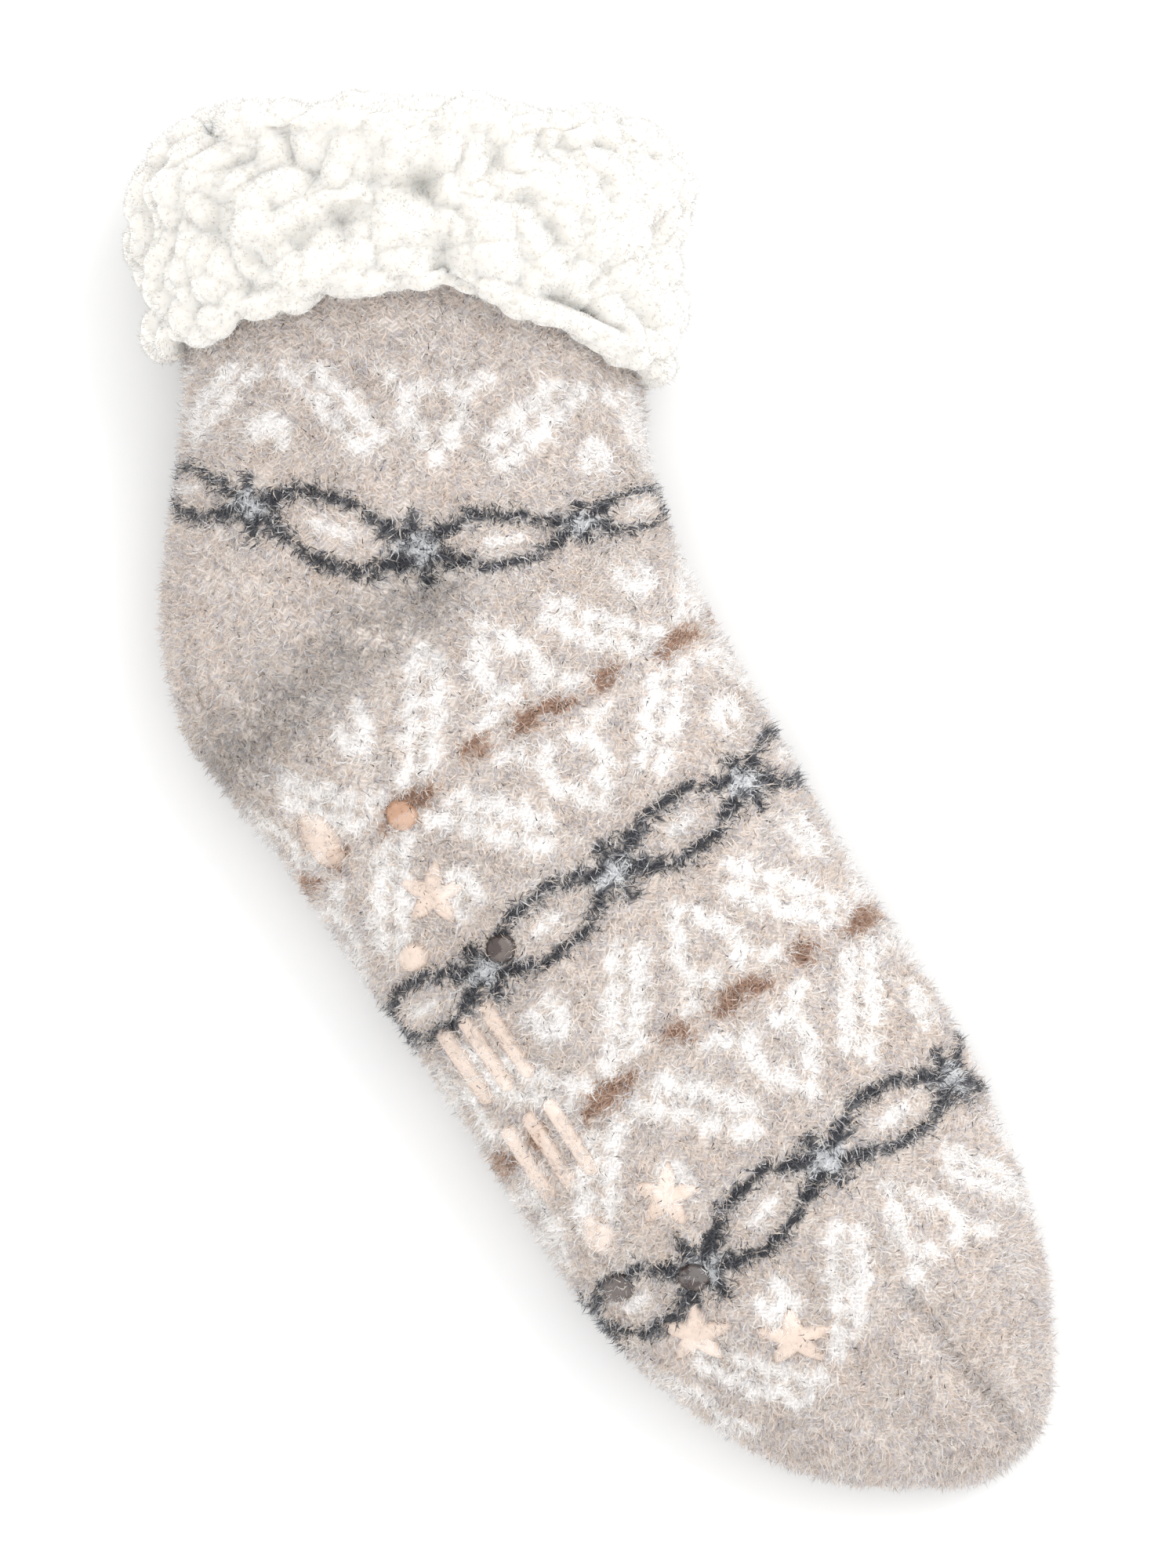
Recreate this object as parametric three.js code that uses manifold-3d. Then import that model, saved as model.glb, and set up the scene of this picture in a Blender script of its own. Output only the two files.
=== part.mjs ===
// A slipper sock lying on its side: a knitted sock with a loose shaft, a sherpa lining turned down as a cuff,
// and silicone grips printed on the sole. Millimetres, +X towards the toe, +Y towards the instep, +Z up.
import * as THREE from "three";
import { mergeVertices } from "three/addons/utils/BufferGeometryUtils.js";
import Module from "manifold-3d";

const wasm = await Module();
wasm.setup();

// Driving dimensions of the flattened sock
const FOOT_RUN = 185.5; // start of the ankle's bend to the toe's tip
const FOOT_WIDTH = 101; // sole's fold to instep's fold
const HEEL_WIDTH = 110; // heel to instep's fold, square to the side's middle line
const LEG_WIDTH = 96; // back fold to front fold
const LEG_RUN = 72; // end of the ankle's bend to the knit's collar edge
const BEND_RADIUS = 108; // of the side's middle line round the ankle
const BEND_ANGLE = THREE.MathUtils.degToRad(33.4);
const CROWN = 30; // rise of the upper side above the line of the folds
const BELLY = 15; // drop of the lower side below the line of the folds

// Walls, clearance and cuff
const KNIT_WALL = 2.4;
const LINING_WALL = 5;
const FIT_GAP = 0.3;
const CUFF_GAP = 1.2; // between the shaft and the cuff that hangs over it
const CUFF_PILE = 9.5; // thickness of the turned-down sherpa
const CUFF_DROP = 53; // longest reach of the cuff down from the collar edge
const ROLL_RISE = 5; // height of the sherpa's roll over the collar edge
const TUFT_WIDTH = 14;
const TUFT_THICKNESS = 8;

// Silicone grips
const GRIP_HEIGHT = 1;
const STAR_RADIUS = 7.5;
const DOT_RADIUS = 3.2;
const OVAL_RADIUS = 3.6;
const BAR_LENGTH = 19;
const BAR_WIDTH = 3.4;
const BAR_PITCH = 5.2;

// Resolution and section form
const AROUND = 36; // corners of a section
const ROUNDNESS = 2.25; // exponent of the sections' superellipse
const UNDER_FLATTENING = 1.2; // the lower side would reach this share of BELLY if the floor did not flatten it
const TIP_KEEP = 0.35; // smallest share of a section that an inner wall keeps near the toe's tip

const BEND_RUN = BEND_RADIUS * BEND_ANGLE;

// Sections from the toe's tip to the collar. at is a share of the zone's run. sole and instep are shares of half the
// zone's width, measured from the side's middle line, crown and belly are shares of CROWN and BELLY, and lift is the
// share of the cuff's thickness by which the shaft lies off the floor.
const ZONES = {
  foot: { start: 0, run: FOOT_RUN, half: FOOT_WIDTH / 2 },
  ankle: { start: 0, run: -BEND_RUN, half: HEEL_WIDTH / 2 },
  leg: { start: -BEND_RUN, run: -LEG_RUN, half: LEG_WIDTH / 2 },
};
const SECTION_COLUMNS = ["zone", "at", "sole", "instep", "crown", "belly", "lift"];
const SECTION_TABLE = [
  ["foot", 0.995, 0.06, 0.21, 0.2, 0.38, 0],
  ["foot", 0.981, 0.15, 0.325, 0.33, 0.45, 0],
  ["foot", 0.96, 0.26, 0.395, 0.44, 0.52, 0],
  ["foot", 0.93, 0.42, 0.48, 0.55, 0.6, 0],
  ["foot", 0.89, 0.575, 0.565, 0.66, 0.7, 0],
  ["foot", 0.835, 0.72, 0.68, 0.76, 0.8, 0],
  ["foot", 0.77, 0.83, 0.75, 0.84, 0.88, 0],
  ["foot", 0.68, 0.925, 0.835, 0.9, 0.94, 0],
  ["foot", 0.57, 0.985, 0.895, 0.95, 0.98, 0],
  ["foot", 0.45, 0.99, 0.92, 0.97, 1, 0],
  ["foot", 0.3, 0.985, 0.93, 0.99, 1, 0],
  ["foot", 0.165, 0.995, 0.965, 1, 1, 0],
  ["foot", 0.055, 1.005, 0.99, 1, 1, 0],
  ["ankle", 0.1, 0.935, 0.925, 1, 1, 0],
  ["ankle", 0.25, 1, 0.93, 1, 1, 0],
  ["ankle", 0.4, 1.075, 0.92, 0.99, 1, 0],
  ["ankle", 0.55, 1.07, 0.915, 0.98, 1, 0],
  ["ankle", 0.7, 1.025, 0.905, 0.97, 1, 0],
  ["ankle", 0.85, 0.965, 0.89, 0.96, 1, 0],
  ["ankle", 1, 0.925, 0.86, 0.95, 1, 0.02],
  ["leg", 0.12, 1.045, 0.96, 0.94, 1, 0.14],
  ["leg", 0.25, 1.03, 0.945, 0.94, 1, 0.48],
  ["leg", 0.39, 1.03, 0.94, 0.94, 1, 0.86],
  ["leg", 0.55, 1.04, 0.945, 0.95, 1, 1],
  ["leg", 0.77, 1.045, 0.955, 0.96, 1, 1],
  ["leg", 1, 1.03, 0.96, 0.96, 1, 1],
];
const SECTIONS = SECTION_TABLE.map((row) => {
  const named = Object.fromEntries(row.map((value, i) => [SECTION_COLUMNS[i], value]));
  const zone = ZONES[named.zone];
  return {
    along: zone.start + named.at * zone.run,
    sole: named.sole * zone.half,
    instep: named.instep * zone.half,
    crown: named.crown * CROWN,
    belly: named.belly * BELLY,
    lift: named.lift * (CUFF_PILE + CUFF_GAP),
  };
});
const COLLAR = SECTIONS[SECTIONS.length - 1].along;

// The cuff's reach down from the collar edge, as shares of CUFF_DROP at the back fold, side's middle and front fold
const CUFF_REACH = { back: 0.9, middle: 0.64, front: 1 };
const CUFF_ARCH = 1.4; // exponent of the lower edge's arch

// The section's sizes at a distance along the side's middle line, straight between the table's rows.
function sectionAt(along) {
  const last = SECTIONS.length - 2;
  const found = SECTIONS.findIndex((row, i) => i <= last && along >= SECTIONS[i + 1].along);
  const i = found < 0 ? last : found;
  const [a, b] = [SECTIONS[i], SECTIONS[i + 1]];
  const share = THREE.MathUtils.clamp((a.along - along) / (a.along - b.along), 0, 1);
  return Object.fromEntries(Object.keys(a).map((key) => [key, THREE.MathUtils.lerp(a[key], b[key], share)]));
}

// The side's middle line: straight along the foot, an arc round the ankle, straight up the leg.
function middleLine(along) {
  const tilt = THREE.MathUtils.clamp(-along / BEND_RADIUS, 0, BEND_ANGLE);
  const towardsCollar = new THREE.Vector3(-Math.cos(tilt), Math.sin(tilt), 0);
  const towardsInstep = new THREE.Vector3(Math.sin(tilt), Math.cos(tilt), 0);
  const point = new THREE.Vector3(-BEND_RADIUS * Math.sin(tilt), BEND_RADIUS * (1 - Math.cos(tilt)), 0);
  if (along > 0) point.x = along;
  if (along < -BEND_RUN) point.addScaledVector(towardsCollar, -BEND_RUN - along);
  return { point, towardsInstep };
}

const shrunk = (size, offset) => (offset < 0 ? Math.max(size + offset, size * TIP_KEEP) : size + offset);
const rounded = (value) => Math.sign(value) * Math.abs(value) ** (2 / ROUNDNESS);

// A point of the sock's surface, or of a surface offset outwards from it. Angle 0 is the instep's fold, a quarter
// turn the top of the upper side, and half a turn the sole's or back's fold. Inner surfaces stop short of the tip.
function surfacePoint(along, angle, offset) {
  const size = sectionAt(along);
  const moved = along > 0 ? along * (1 + Math.min(offset, 0) / FOOT_RUN) : along;
  const { point, towardsInstep } = middleLine(moved);
  const half = shrunk((size.sole + size.instep) / 2, offset);
  const middle = (size.instep - size.sole) / 2;
  const rise = rounded(Math.sin(angle));
  const folds = size.lift + size.belly;
  const z = rise >= 0
    ? folds + shrunk(size.crown, offset) * rise
    : Math.max(folds + shrunk(size.belly * UNDER_FLATTENING, offset) * rise, size.lift - offset, 0);
  return point.addScaledVector(towardsInstep, middle + half * rounded(Math.cos(angle))).setZ(z);
}

const angleOf = (i) => (2 * Math.PI * i) / AROUND;
const ring = (place) => Array.from({ length: AROUND }, (_, i) => place(angleOf(i)));

// The end of a surface at the toe's tip.
function tipPole(offset) {
  const tip = SECTIONS[0];
  const across = (tip.instep - tip.sole) / 2;
  return new THREE.Vector3(FOOT_RUN + offset, across, tip.belly + tip.crown / 4);
}

// A closed surface through rings that start and end at two poles.
function closedLoft(firstPole, rings, lastPole) {
  const corners = [firstPole, ...rings.flat(), lastPole];
  const index = [];
  const at = (row, i) => 1 + row * AROUND + (i % AROUND);
  const lastRow = rings.length - 1;
  for (let i = 0; i < AROUND; i++) {
    index.push(0, at(0, i + 1), at(0, i));
    index.push(corners.length - 1, at(lastRow, i), at(lastRow, i + 1));
    for (let row = 0; row < lastRow; row++) {
      index.push(at(row, i), at(row, i + 1), at(row + 1, i + 1));
      index.push(at(row, i), at(row + 1, i + 1), at(row + 1, i));
    }
  }
  const geometry = new THREE.BufferGeometry().setFromPoints(corners);
  geometry.setIndex(index);
  return geometry;
}

const alongRows = SECTIONS.map((row) => row.along);
const ringsAt = (alongs, offset) => alongs.map((along) => ring((angle) => surfacePoint(along, angle, offset)));

// The knitted sock: its inner face from the tip to the collar, the collar edge, and its outer face back to the tip.
function knitSock() {
  const inner = ringsAt(alongRows, -KNIT_WALL);
  const outer = ringsAt(alongRows, 0).reverse();
  return closedLoft(tipPole(-KNIT_WALL), [...inner, ...outer], tipPole(0));
}

const LINING_OUTSIDE = -(KNIT_WALL + FIT_GAP);
const LINING_INSIDE = LINING_OUTSIDE - LINING_WALL;
const CUFF_INSIDE = CUFF_GAP;
const CUFF_OUTSIDE = CUFF_GAP + CUFF_PILE;

function cuffReach(angle) {
  const across = rounded(Math.cos(angle));
  const edge = across > 0 ? CUFF_REACH.front : CUFF_REACH.back;
  const share = THREE.MathUtils.lerp(CUFF_REACH.middle, edge, Math.abs(across) ** CUFF_ARCH);
  return share * CUFF_DROP;
}

const aboveCollar = (angle, offset, rise) => {
  const { towardsInstep } = middleLine(COLLAR);
  const towardsCollar = new THREE.Vector3(-towardsInstep.y, towardsInstep.x, 0);
  return surfacePoint(COLLAR, angle, offset).addScaledVector(towardsCollar, rise);
};
const cuffPoint = (angle, offset, share) => surfacePoint(COLLAR + share * cuffReach(angle), angle, offset);

// The sherpa lining: its inner face up to the collar, a roll over the collar edge, the cuff's outer face, lower edge
// and inner face, and its own outer face back down to the toe.
function sherpaLining() {
  const middle = (LINING_INSIDE + CUFF_OUTSIDE) / 2;
  const radius = (CUFF_OUTSIDE - LINING_INSIDE) / 2;
  const roll = [0, 0.25, 0.5, 0.75, 1].map((share) => {
    const turn = share * Math.PI;
    const rise = FIT_GAP + ROLL_RISE * Math.sin(turn);
    return ring((angle) => aboveCollar(angle, middle - radius * Math.cos(turn), rise));
  });
  const cuffFace = [0.2, 0.45, 0.7, 0.92].map((share) => ring((angle) => cuffPoint(angle, CUFF_OUTSIDE, share)));
  const hem = [
    ring((angle) => cuffPoint(angle, THREE.MathUtils.lerp(CUFF_INSIDE, CUFF_OUTSIDE, 0.7), 1)),
    ring((angle) => cuffPoint(angle, THREE.MathUtils.lerp(CUFF_INSIDE, CUFF_OUTSIDE, 0.2), 1)),
  ];
  const cuffBack = [0.92, 0.76, 0.6, 0.3].map((share) => ring((angle) => cuffPoint(angle, CUFF_INSIDE, share)));
  const overEdge = [CUFF_INSIDE, LINING_OUTSIDE].map((offset) => ring((angle) => aboveCollar(angle, offset, FIT_GAP)));
  const inside = ringsAt(alongRows.filter((_, i) => i % 2 === 0), LINING_INSIDE);
  const outside = ringsAt(alongRows.slice(0, -1), LINING_OUTSIDE).reverse();
  return closedLoft(
    tipPole(LINING_INSIDE),
    [...inside, ...roll, ...cuffFace, ...hem, ...cuffBack, ...overEdge, ...outside],
    tipPole(LINING_OUTSIDE),
  );
}

function solidFrom(geometry) {
  const bare = geometry.clone();
  bare.deleteAttribute("normal");
  bare.deleteAttribute("uv");
  const merged = mergeVertices(bare, 1e-4);
  const vertProperties = new Float32Array(merged.attributes.position.array);
  const triVerts = new Uint32Array(merged.index.array);
  return new wasm.Manifold(new wasm.Mesh({ numProp: 3, vertProperties, triVerts }));
}

function geometryFrom(solid) {
  const mesh = solid.getMesh();
  const geometry = new THREE.BufferGeometry();
  geometry.setAttribute("position", new THREE.BufferAttribute(mesh.vertProperties, 3));
  geometry.setIndex(new THREE.BufferAttribute(mesh.triVerts, 1));
  return geometry;
}

// Rows of tufts over the roll, the cuff's face and its hem, staggered and fused to the lining. down is a share of the
// cuff's reach below the collar edge, and deep a share of CUFF_PILE out from the shaft.
const TUFT_COLUMNS = ["down", "deep"];
const TUFT_TABLE = [
  [-0.05, 0.78],
  [0.2, 0.82],
  [0.47, 0.82],
  [0.74, 0.82],
  [0.98, 0.5],
];
const TUFTS_IN_ROW = 18;
const TUFT_UNEVENNESS = 0.16;
const TUFT_FACETS = 0; // subdivisions of an icosahedron

function tuftGeometry(angle, row, offset, down) {
  const centre = cuffPoint(angle, offset, down);
  const outward = cuffPoint(angle, offset + 1, down).sub(centre).normalize();
  const size = 1 + TUFT_UNEVENNESS * Math.sin(5 * angle + 3 * row);
  const tuft = new THREE.IcosahedronGeometry(1, TUFT_FACETS).rotateZ(angle + row);
  tuft.scale((TUFT_WIDTH / 2) * size, (TUFT_WIDTH / 2) * size, (TUFT_THICKNESS / 2) * size);
  tuft.applyQuaternion(new THREE.Quaternion().setFromUnitVectors(new THREE.Vector3(0, 0, 1), outward));
  return tuft.translate(centre.x, centre.y, centre.z);
}

function withTufts(lining) {
  let solid = solidFrom(lining);
  TUFT_TABLE.forEach((values, row) => {
    const { down, deep } = Object.fromEntries(values.map((value, i) => [TUFT_COLUMNS[i], value]));
    for (let i = 0; i < TUFTS_IN_ROW; i++) {
      const angle = ((i + (row % 2) / 2) * 2 * Math.PI) / TUFTS_IN_ROW;
      const tuft = tuftGeometry(angle, row, CUFF_INSIDE + deep * CUFF_PILE, down);
      tuft.computeBoundingBox();
      if (tuft.boundingBox.min.z > 0) solid = solid.add(solidFrom(tuft));
    }
  });
  return geometryFrom(solid);
}

// Outlines of the silicone grips
const STAR_POINTS = 5;

function starShape(radius) {
  const waist = 0.45 * radius;
  const corners = Array.from({ length: 2 * STAR_POINTS }, (_, i) => {
    const reach = i % 2 ? waist : radius;
    const turn = (i * Math.PI) / STAR_POINTS;
    return new THREE.Vector2(reach * Math.cos(turn), reach * Math.sin(turn));
  });
  return new THREE.Shape(corners);
}

function barShape(length, width) {
  const round = width / 2;
  const straight = length / 2 - round;
  const shape = new THREE.Shape();
  shape.absarc(straight, 0, round, -Math.PI / 2, Math.PI / 2, false);
  shape.absarc(-straight, 0, round, Math.PI / 2, (3 * Math.PI) / 2, false);
  return shape;
}

const prism = (shape) => new THREE.ExtrudeGeometry(shape, { depth: GRIP_HEIGHT, bevelEnabled: false, curveSegments: 3 });

function dome(radius, height) {
  const profile = [
    [0, 0],
    [radius, 0],
    [0.8 * radius, 0.65 * height],
    [0, height],
  ];
  return new THREE.LatheGeometry(profile.map(([r, y]) => new THREE.Vector2(r, y)), 10).rotateX(Math.PI / 2);
}

const GRIP_FORMS = {
  star: () => prism(starShape(STAR_RADIUS)),
  dot: () => dome(DOT_RADIUS, 1.6 * GRIP_HEIGHT),
  oval: () => dome(OVAL_RADIUS, GRIP_HEIGHT).scale(1.4, 1, 1),
  bar: () => prism(barShape(BAR_LENGTH, BAR_WIDTH)),
};

// Grips on the sole. at is a share of FOOT_RUN, across a share of FOOT_WIDTH in from the sole's fold.
const GRIP_COLUMNS = ["form", "at", "across"];
const GRIP_TABLE = [
  ["oval", -0.02, 0.08],
  ["dot", 0, 0.25],
  ["star", 0.093, 0.21],
  ["dot", 0.141, 0.1],
  ["dot", 0.187, 0.26],
  ["star", 0.526, 0.26],
  ["oval", 0.522, 0.1],
  ["dot", 0.584, 0.07],
  ["dot", 0.62, 0.205],
  ["star", 0.677, 0.125],
  ["star", 0.741, 0.26],
];
const BAR_ROWS = [0.277, 0.41]; // shares of FOOT_RUN
const BARS_IN_ROW = 3;
const FIRST_BAR = 0.06; // share of FOOT_WIDTH in from the sole's fold
const UNDER_REACH = 0.12; // share of FOOT_WIDTH in from the fold within which the lower side clears the floor

// The angle at which the upper side lies a given distance in from the sole's fold.
function angleAcross(along, across) {
  const size = sectionAt(along);
  const half = (size.sole + size.instep) / 2;
  const cosine = THREE.MathUtils.clamp(1 - across / half, 0, 1) ** (ROUNDNESS / 2);
  return Math.PI - Math.acos(cosine);
}

// Seats a grip on the knit, its own +Z out of the surface and its +X towards the toe.
function seatedGrip(geometry, along, angle) {
  const step = 0.5;
  const here = surfacePoint(along, angle, 0);
  const forward = surfacePoint(along + step, angle, 0).sub(surfacePoint(along - step, angle, 0)).normalize();
  const round = surfacePoint(along, angle + 0.01, 0).sub(surfacePoint(along, angle - 0.01, 0)).normalize();
  const out = new THREE.Vector3().crossVectors(round, forward).normalize();
  const side = new THREE.Vector3().crossVectors(out, forward).normalize();
  const place = new THREE.Matrix4().makeBasis(forward, side, out);
  place.setPosition(here.addScaledVector(out, FIT_GAP));
  return { geometry, place };
}

const knitYarn = new THREE.MeshStandardMaterial({ color: 0xcfc5be, roughness: 0.95, metalness: 0 });
const sherpaPile = new THREE.MeshStandardMaterial({ color: 0xf4f3ee, roughness: 1, metalness: 0 });
const silicone = new THREE.MeshStandardMaterial({ color: 0xd9bfa8, roughness: 0.25, metalness: 0 });

const sock = new THREE.Group();

function addPart(name, geometry, material) {
  const mesh = new THREE.Mesh(geometry, material);
  mesh.name = name;
  sock.add(mesh);
  return mesh;
}

addPart("knit_sock", knitSock(), knitYarn);
addPart("sherpa_lining", withTufts(sherpaLining()), sherpaPile);

const barRows = BAR_ROWS.flatMap((at) =>
  Array.from({ length: BARS_IN_ROW }, (_, i) => ["bar", at, FIRST_BAR + (i * BAR_PITCH) / FOOT_WIDTH]));
const grips = [...GRIP_TABLE, ...barRows].map((row) =>
  Object.fromEntries(row.map((value, i) => [GRIP_COLUMNS[i], value])));
const counts = {};
for (const { form, at, across } of grips) {
  const along = at * FOOT_RUN;
  const upper = angleAcross(along, across * FOOT_WIDTH);
  const angles = across <= UNDER_REACH ? [upper, 2 * Math.PI - upper] : [upper];
  for (const angle of angles) {
    const { geometry, place } = seatedGrip(GRIP_FORMS[form](), along, angle);
    counts[form] = (counts[form] ?? 0) + 1;
    addPart(`grip_${form}_${counts[form]}`, geometry, silicone).applyMatrix4(place);
  }
}

// The origin is the middle of the sock's box, on the floor.
const box = new THREE.Box3().setFromObject(sock, true);
const centre = box.getCenter(new THREE.Vector3());
sock.position.set(-centre.x, -centre.y, -box.min.z);

const part = new THREE.Group();
part.add(sock);
part.updateMatrixWorld(true);

export default part;
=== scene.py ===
"""A slipper sock on its side: fuzzy patterned knit, sherpa lining turned down as a cuff, silicone grips.

The sock is worked out in millimetres in its own frame. Its origin is on the side's middle line at the start
of the ankle's bend, with +X towards the toe, +Y towards the instep and +Z up. SockForm turns that into the
row frame.
"""

import logging
import math
from dataclasses import dataclass, field
from enum import IntEnum
from typing import Callable

import bpy
import numpy as np
from mathutils import Matrix, Vector
from mathutils.kdtree import KDTree


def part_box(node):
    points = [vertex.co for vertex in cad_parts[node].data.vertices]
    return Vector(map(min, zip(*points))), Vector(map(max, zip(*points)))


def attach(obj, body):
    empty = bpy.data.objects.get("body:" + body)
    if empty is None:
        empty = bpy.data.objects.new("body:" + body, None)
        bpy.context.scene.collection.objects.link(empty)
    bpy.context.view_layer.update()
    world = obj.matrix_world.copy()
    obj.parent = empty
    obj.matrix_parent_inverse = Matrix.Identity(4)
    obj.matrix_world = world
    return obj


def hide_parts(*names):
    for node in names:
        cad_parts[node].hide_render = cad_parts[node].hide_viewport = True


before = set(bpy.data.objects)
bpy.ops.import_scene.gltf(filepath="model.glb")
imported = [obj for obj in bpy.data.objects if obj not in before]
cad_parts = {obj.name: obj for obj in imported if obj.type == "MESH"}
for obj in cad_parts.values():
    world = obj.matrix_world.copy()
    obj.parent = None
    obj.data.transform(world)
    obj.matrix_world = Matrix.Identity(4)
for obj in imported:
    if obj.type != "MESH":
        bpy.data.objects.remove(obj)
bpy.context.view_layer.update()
MM = 0.001
LOG = logging.getLogger("slipper_sock")

Array = np.ndarray
Curve = Callable[[Array], Array]


def smooth_curve(places: list[float], values: list[float]) -> Curve:
    """Fits a curve through points that never swings past them.

    Args:
        places: where the points lie, in rising order.
        values: the value at each place.

    Returns:
        A function that gives the value at any place, held at the ends.
    """
    at, value = np.asarray(places, float), np.asarray(values, float)
    step = np.diff(at)
    slope = np.diff(value) / step
    before, after = slope[:-1], slope[1:]
    near, far = 2 * step[1:] + step[:-1], step[1:] + 2 * step[:-1]
    turning = before * after <= 0
    safe_before, safe_after = np.where(turning, 1.0, before), np.where(turning, 1.0, after)
    inner = np.where(turning, 0.0, (near + far) / (near / safe_before + far / safe_after))
    tangent = np.concatenate([slope[:1], inner, slope[-1:]])

    def curve(place: Array) -> Array:
        """Gives the value at each place."""
        held = np.clip(place, at[0], at[-1])
        i = np.clip(np.searchsorted(at, held) - 1, 0, len(at) - 2)
        share = (held - at[i]) / step[i]
        rest = 1 - share
        ends = (1 + 2 * share) * rest**2 * value[i] + share**2 * (3 - 2 * share) * value[i + 1]
        return ends + step[i] * (share * rest**2 * tangent[i] - share**2 * rest * tangent[i + 1])

    return curve


def unit(vectors: Array) -> Array:
    """Scales vectors to length 1."""
    return vectors / np.maximum(np.linalg.norm(vectors, axis=-1, keepdims=True), 1e-9)


def smoothstep(low: float, high: float, value: Array) -> Array:
    """Rises softly from 0 at low to 1 at high."""
    share = np.clip((value - low) / (high - low), 0, 1)
    return share * share * (3 - 2 * share)


def distance_to_line(points: Array, line: list[tuple[float, float]]) -> Array:
    """Measures how far 2-D points lie from a line of straight stretches.

    Args:
        points: the points, in an array whose last axis holds the two coordinates.
        line: the line's corners.

    Returns:
        The distance of each point.
    """
    nearest = np.full(points.shape[:-1], 1e9)
    for start, end in zip(line[:-1], line[1:]):
        a, run = np.array(start, float), np.array(end, float) - np.array(start, float)
        share = np.clip(((points - a) @ run) / (run @ run), 0, 1)
        nearest = np.minimum(nearest, np.linalg.norm(points - a - share[..., None] * run, axis=-1))
    return nearest


def value_noise(points: Array, seed: int) -> Array:
    """Smooth random values from -1 to 1, one for each 2-D point, that change over a distance of 1."""
    table = np.random.default_rng(seed).uniform(-1, 1, (64, 64))
    low = np.floor(points).astype(int)
    share = points - low
    share = share * share * (3 - 2 * share)
    x, y = low[..., 0] % 64, low[..., 1] % 64
    x1, y1 = (x + 1) % 64, (y + 1) % 64
    bottom = table[x, y] * (1 - share[..., 0]) + table[x1, y] * share[..., 0]
    top = table[x, y1] * (1 - share[..., 0]) + table[x1, y1] * share[..., 0]
    return bottom * (1 - share[..., 1]) + top * share[..., 1]


def linear_from_hex(colour: str) -> tuple[float, float, float, float]:
    """Turns an sRGB hex colour into Blender's linear red, green, blue and alpha."""
    parts = [int(colour[i:i + 2], 16) / 255 for i in (1, 3, 5)]
    linear = [part / 12.92 if part <= 0.04045 else ((part + 0.055) / 1.055) ** 2.4 for part in parts]
    return (linear[0], linear[1], linear[2], 1.0)


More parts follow.
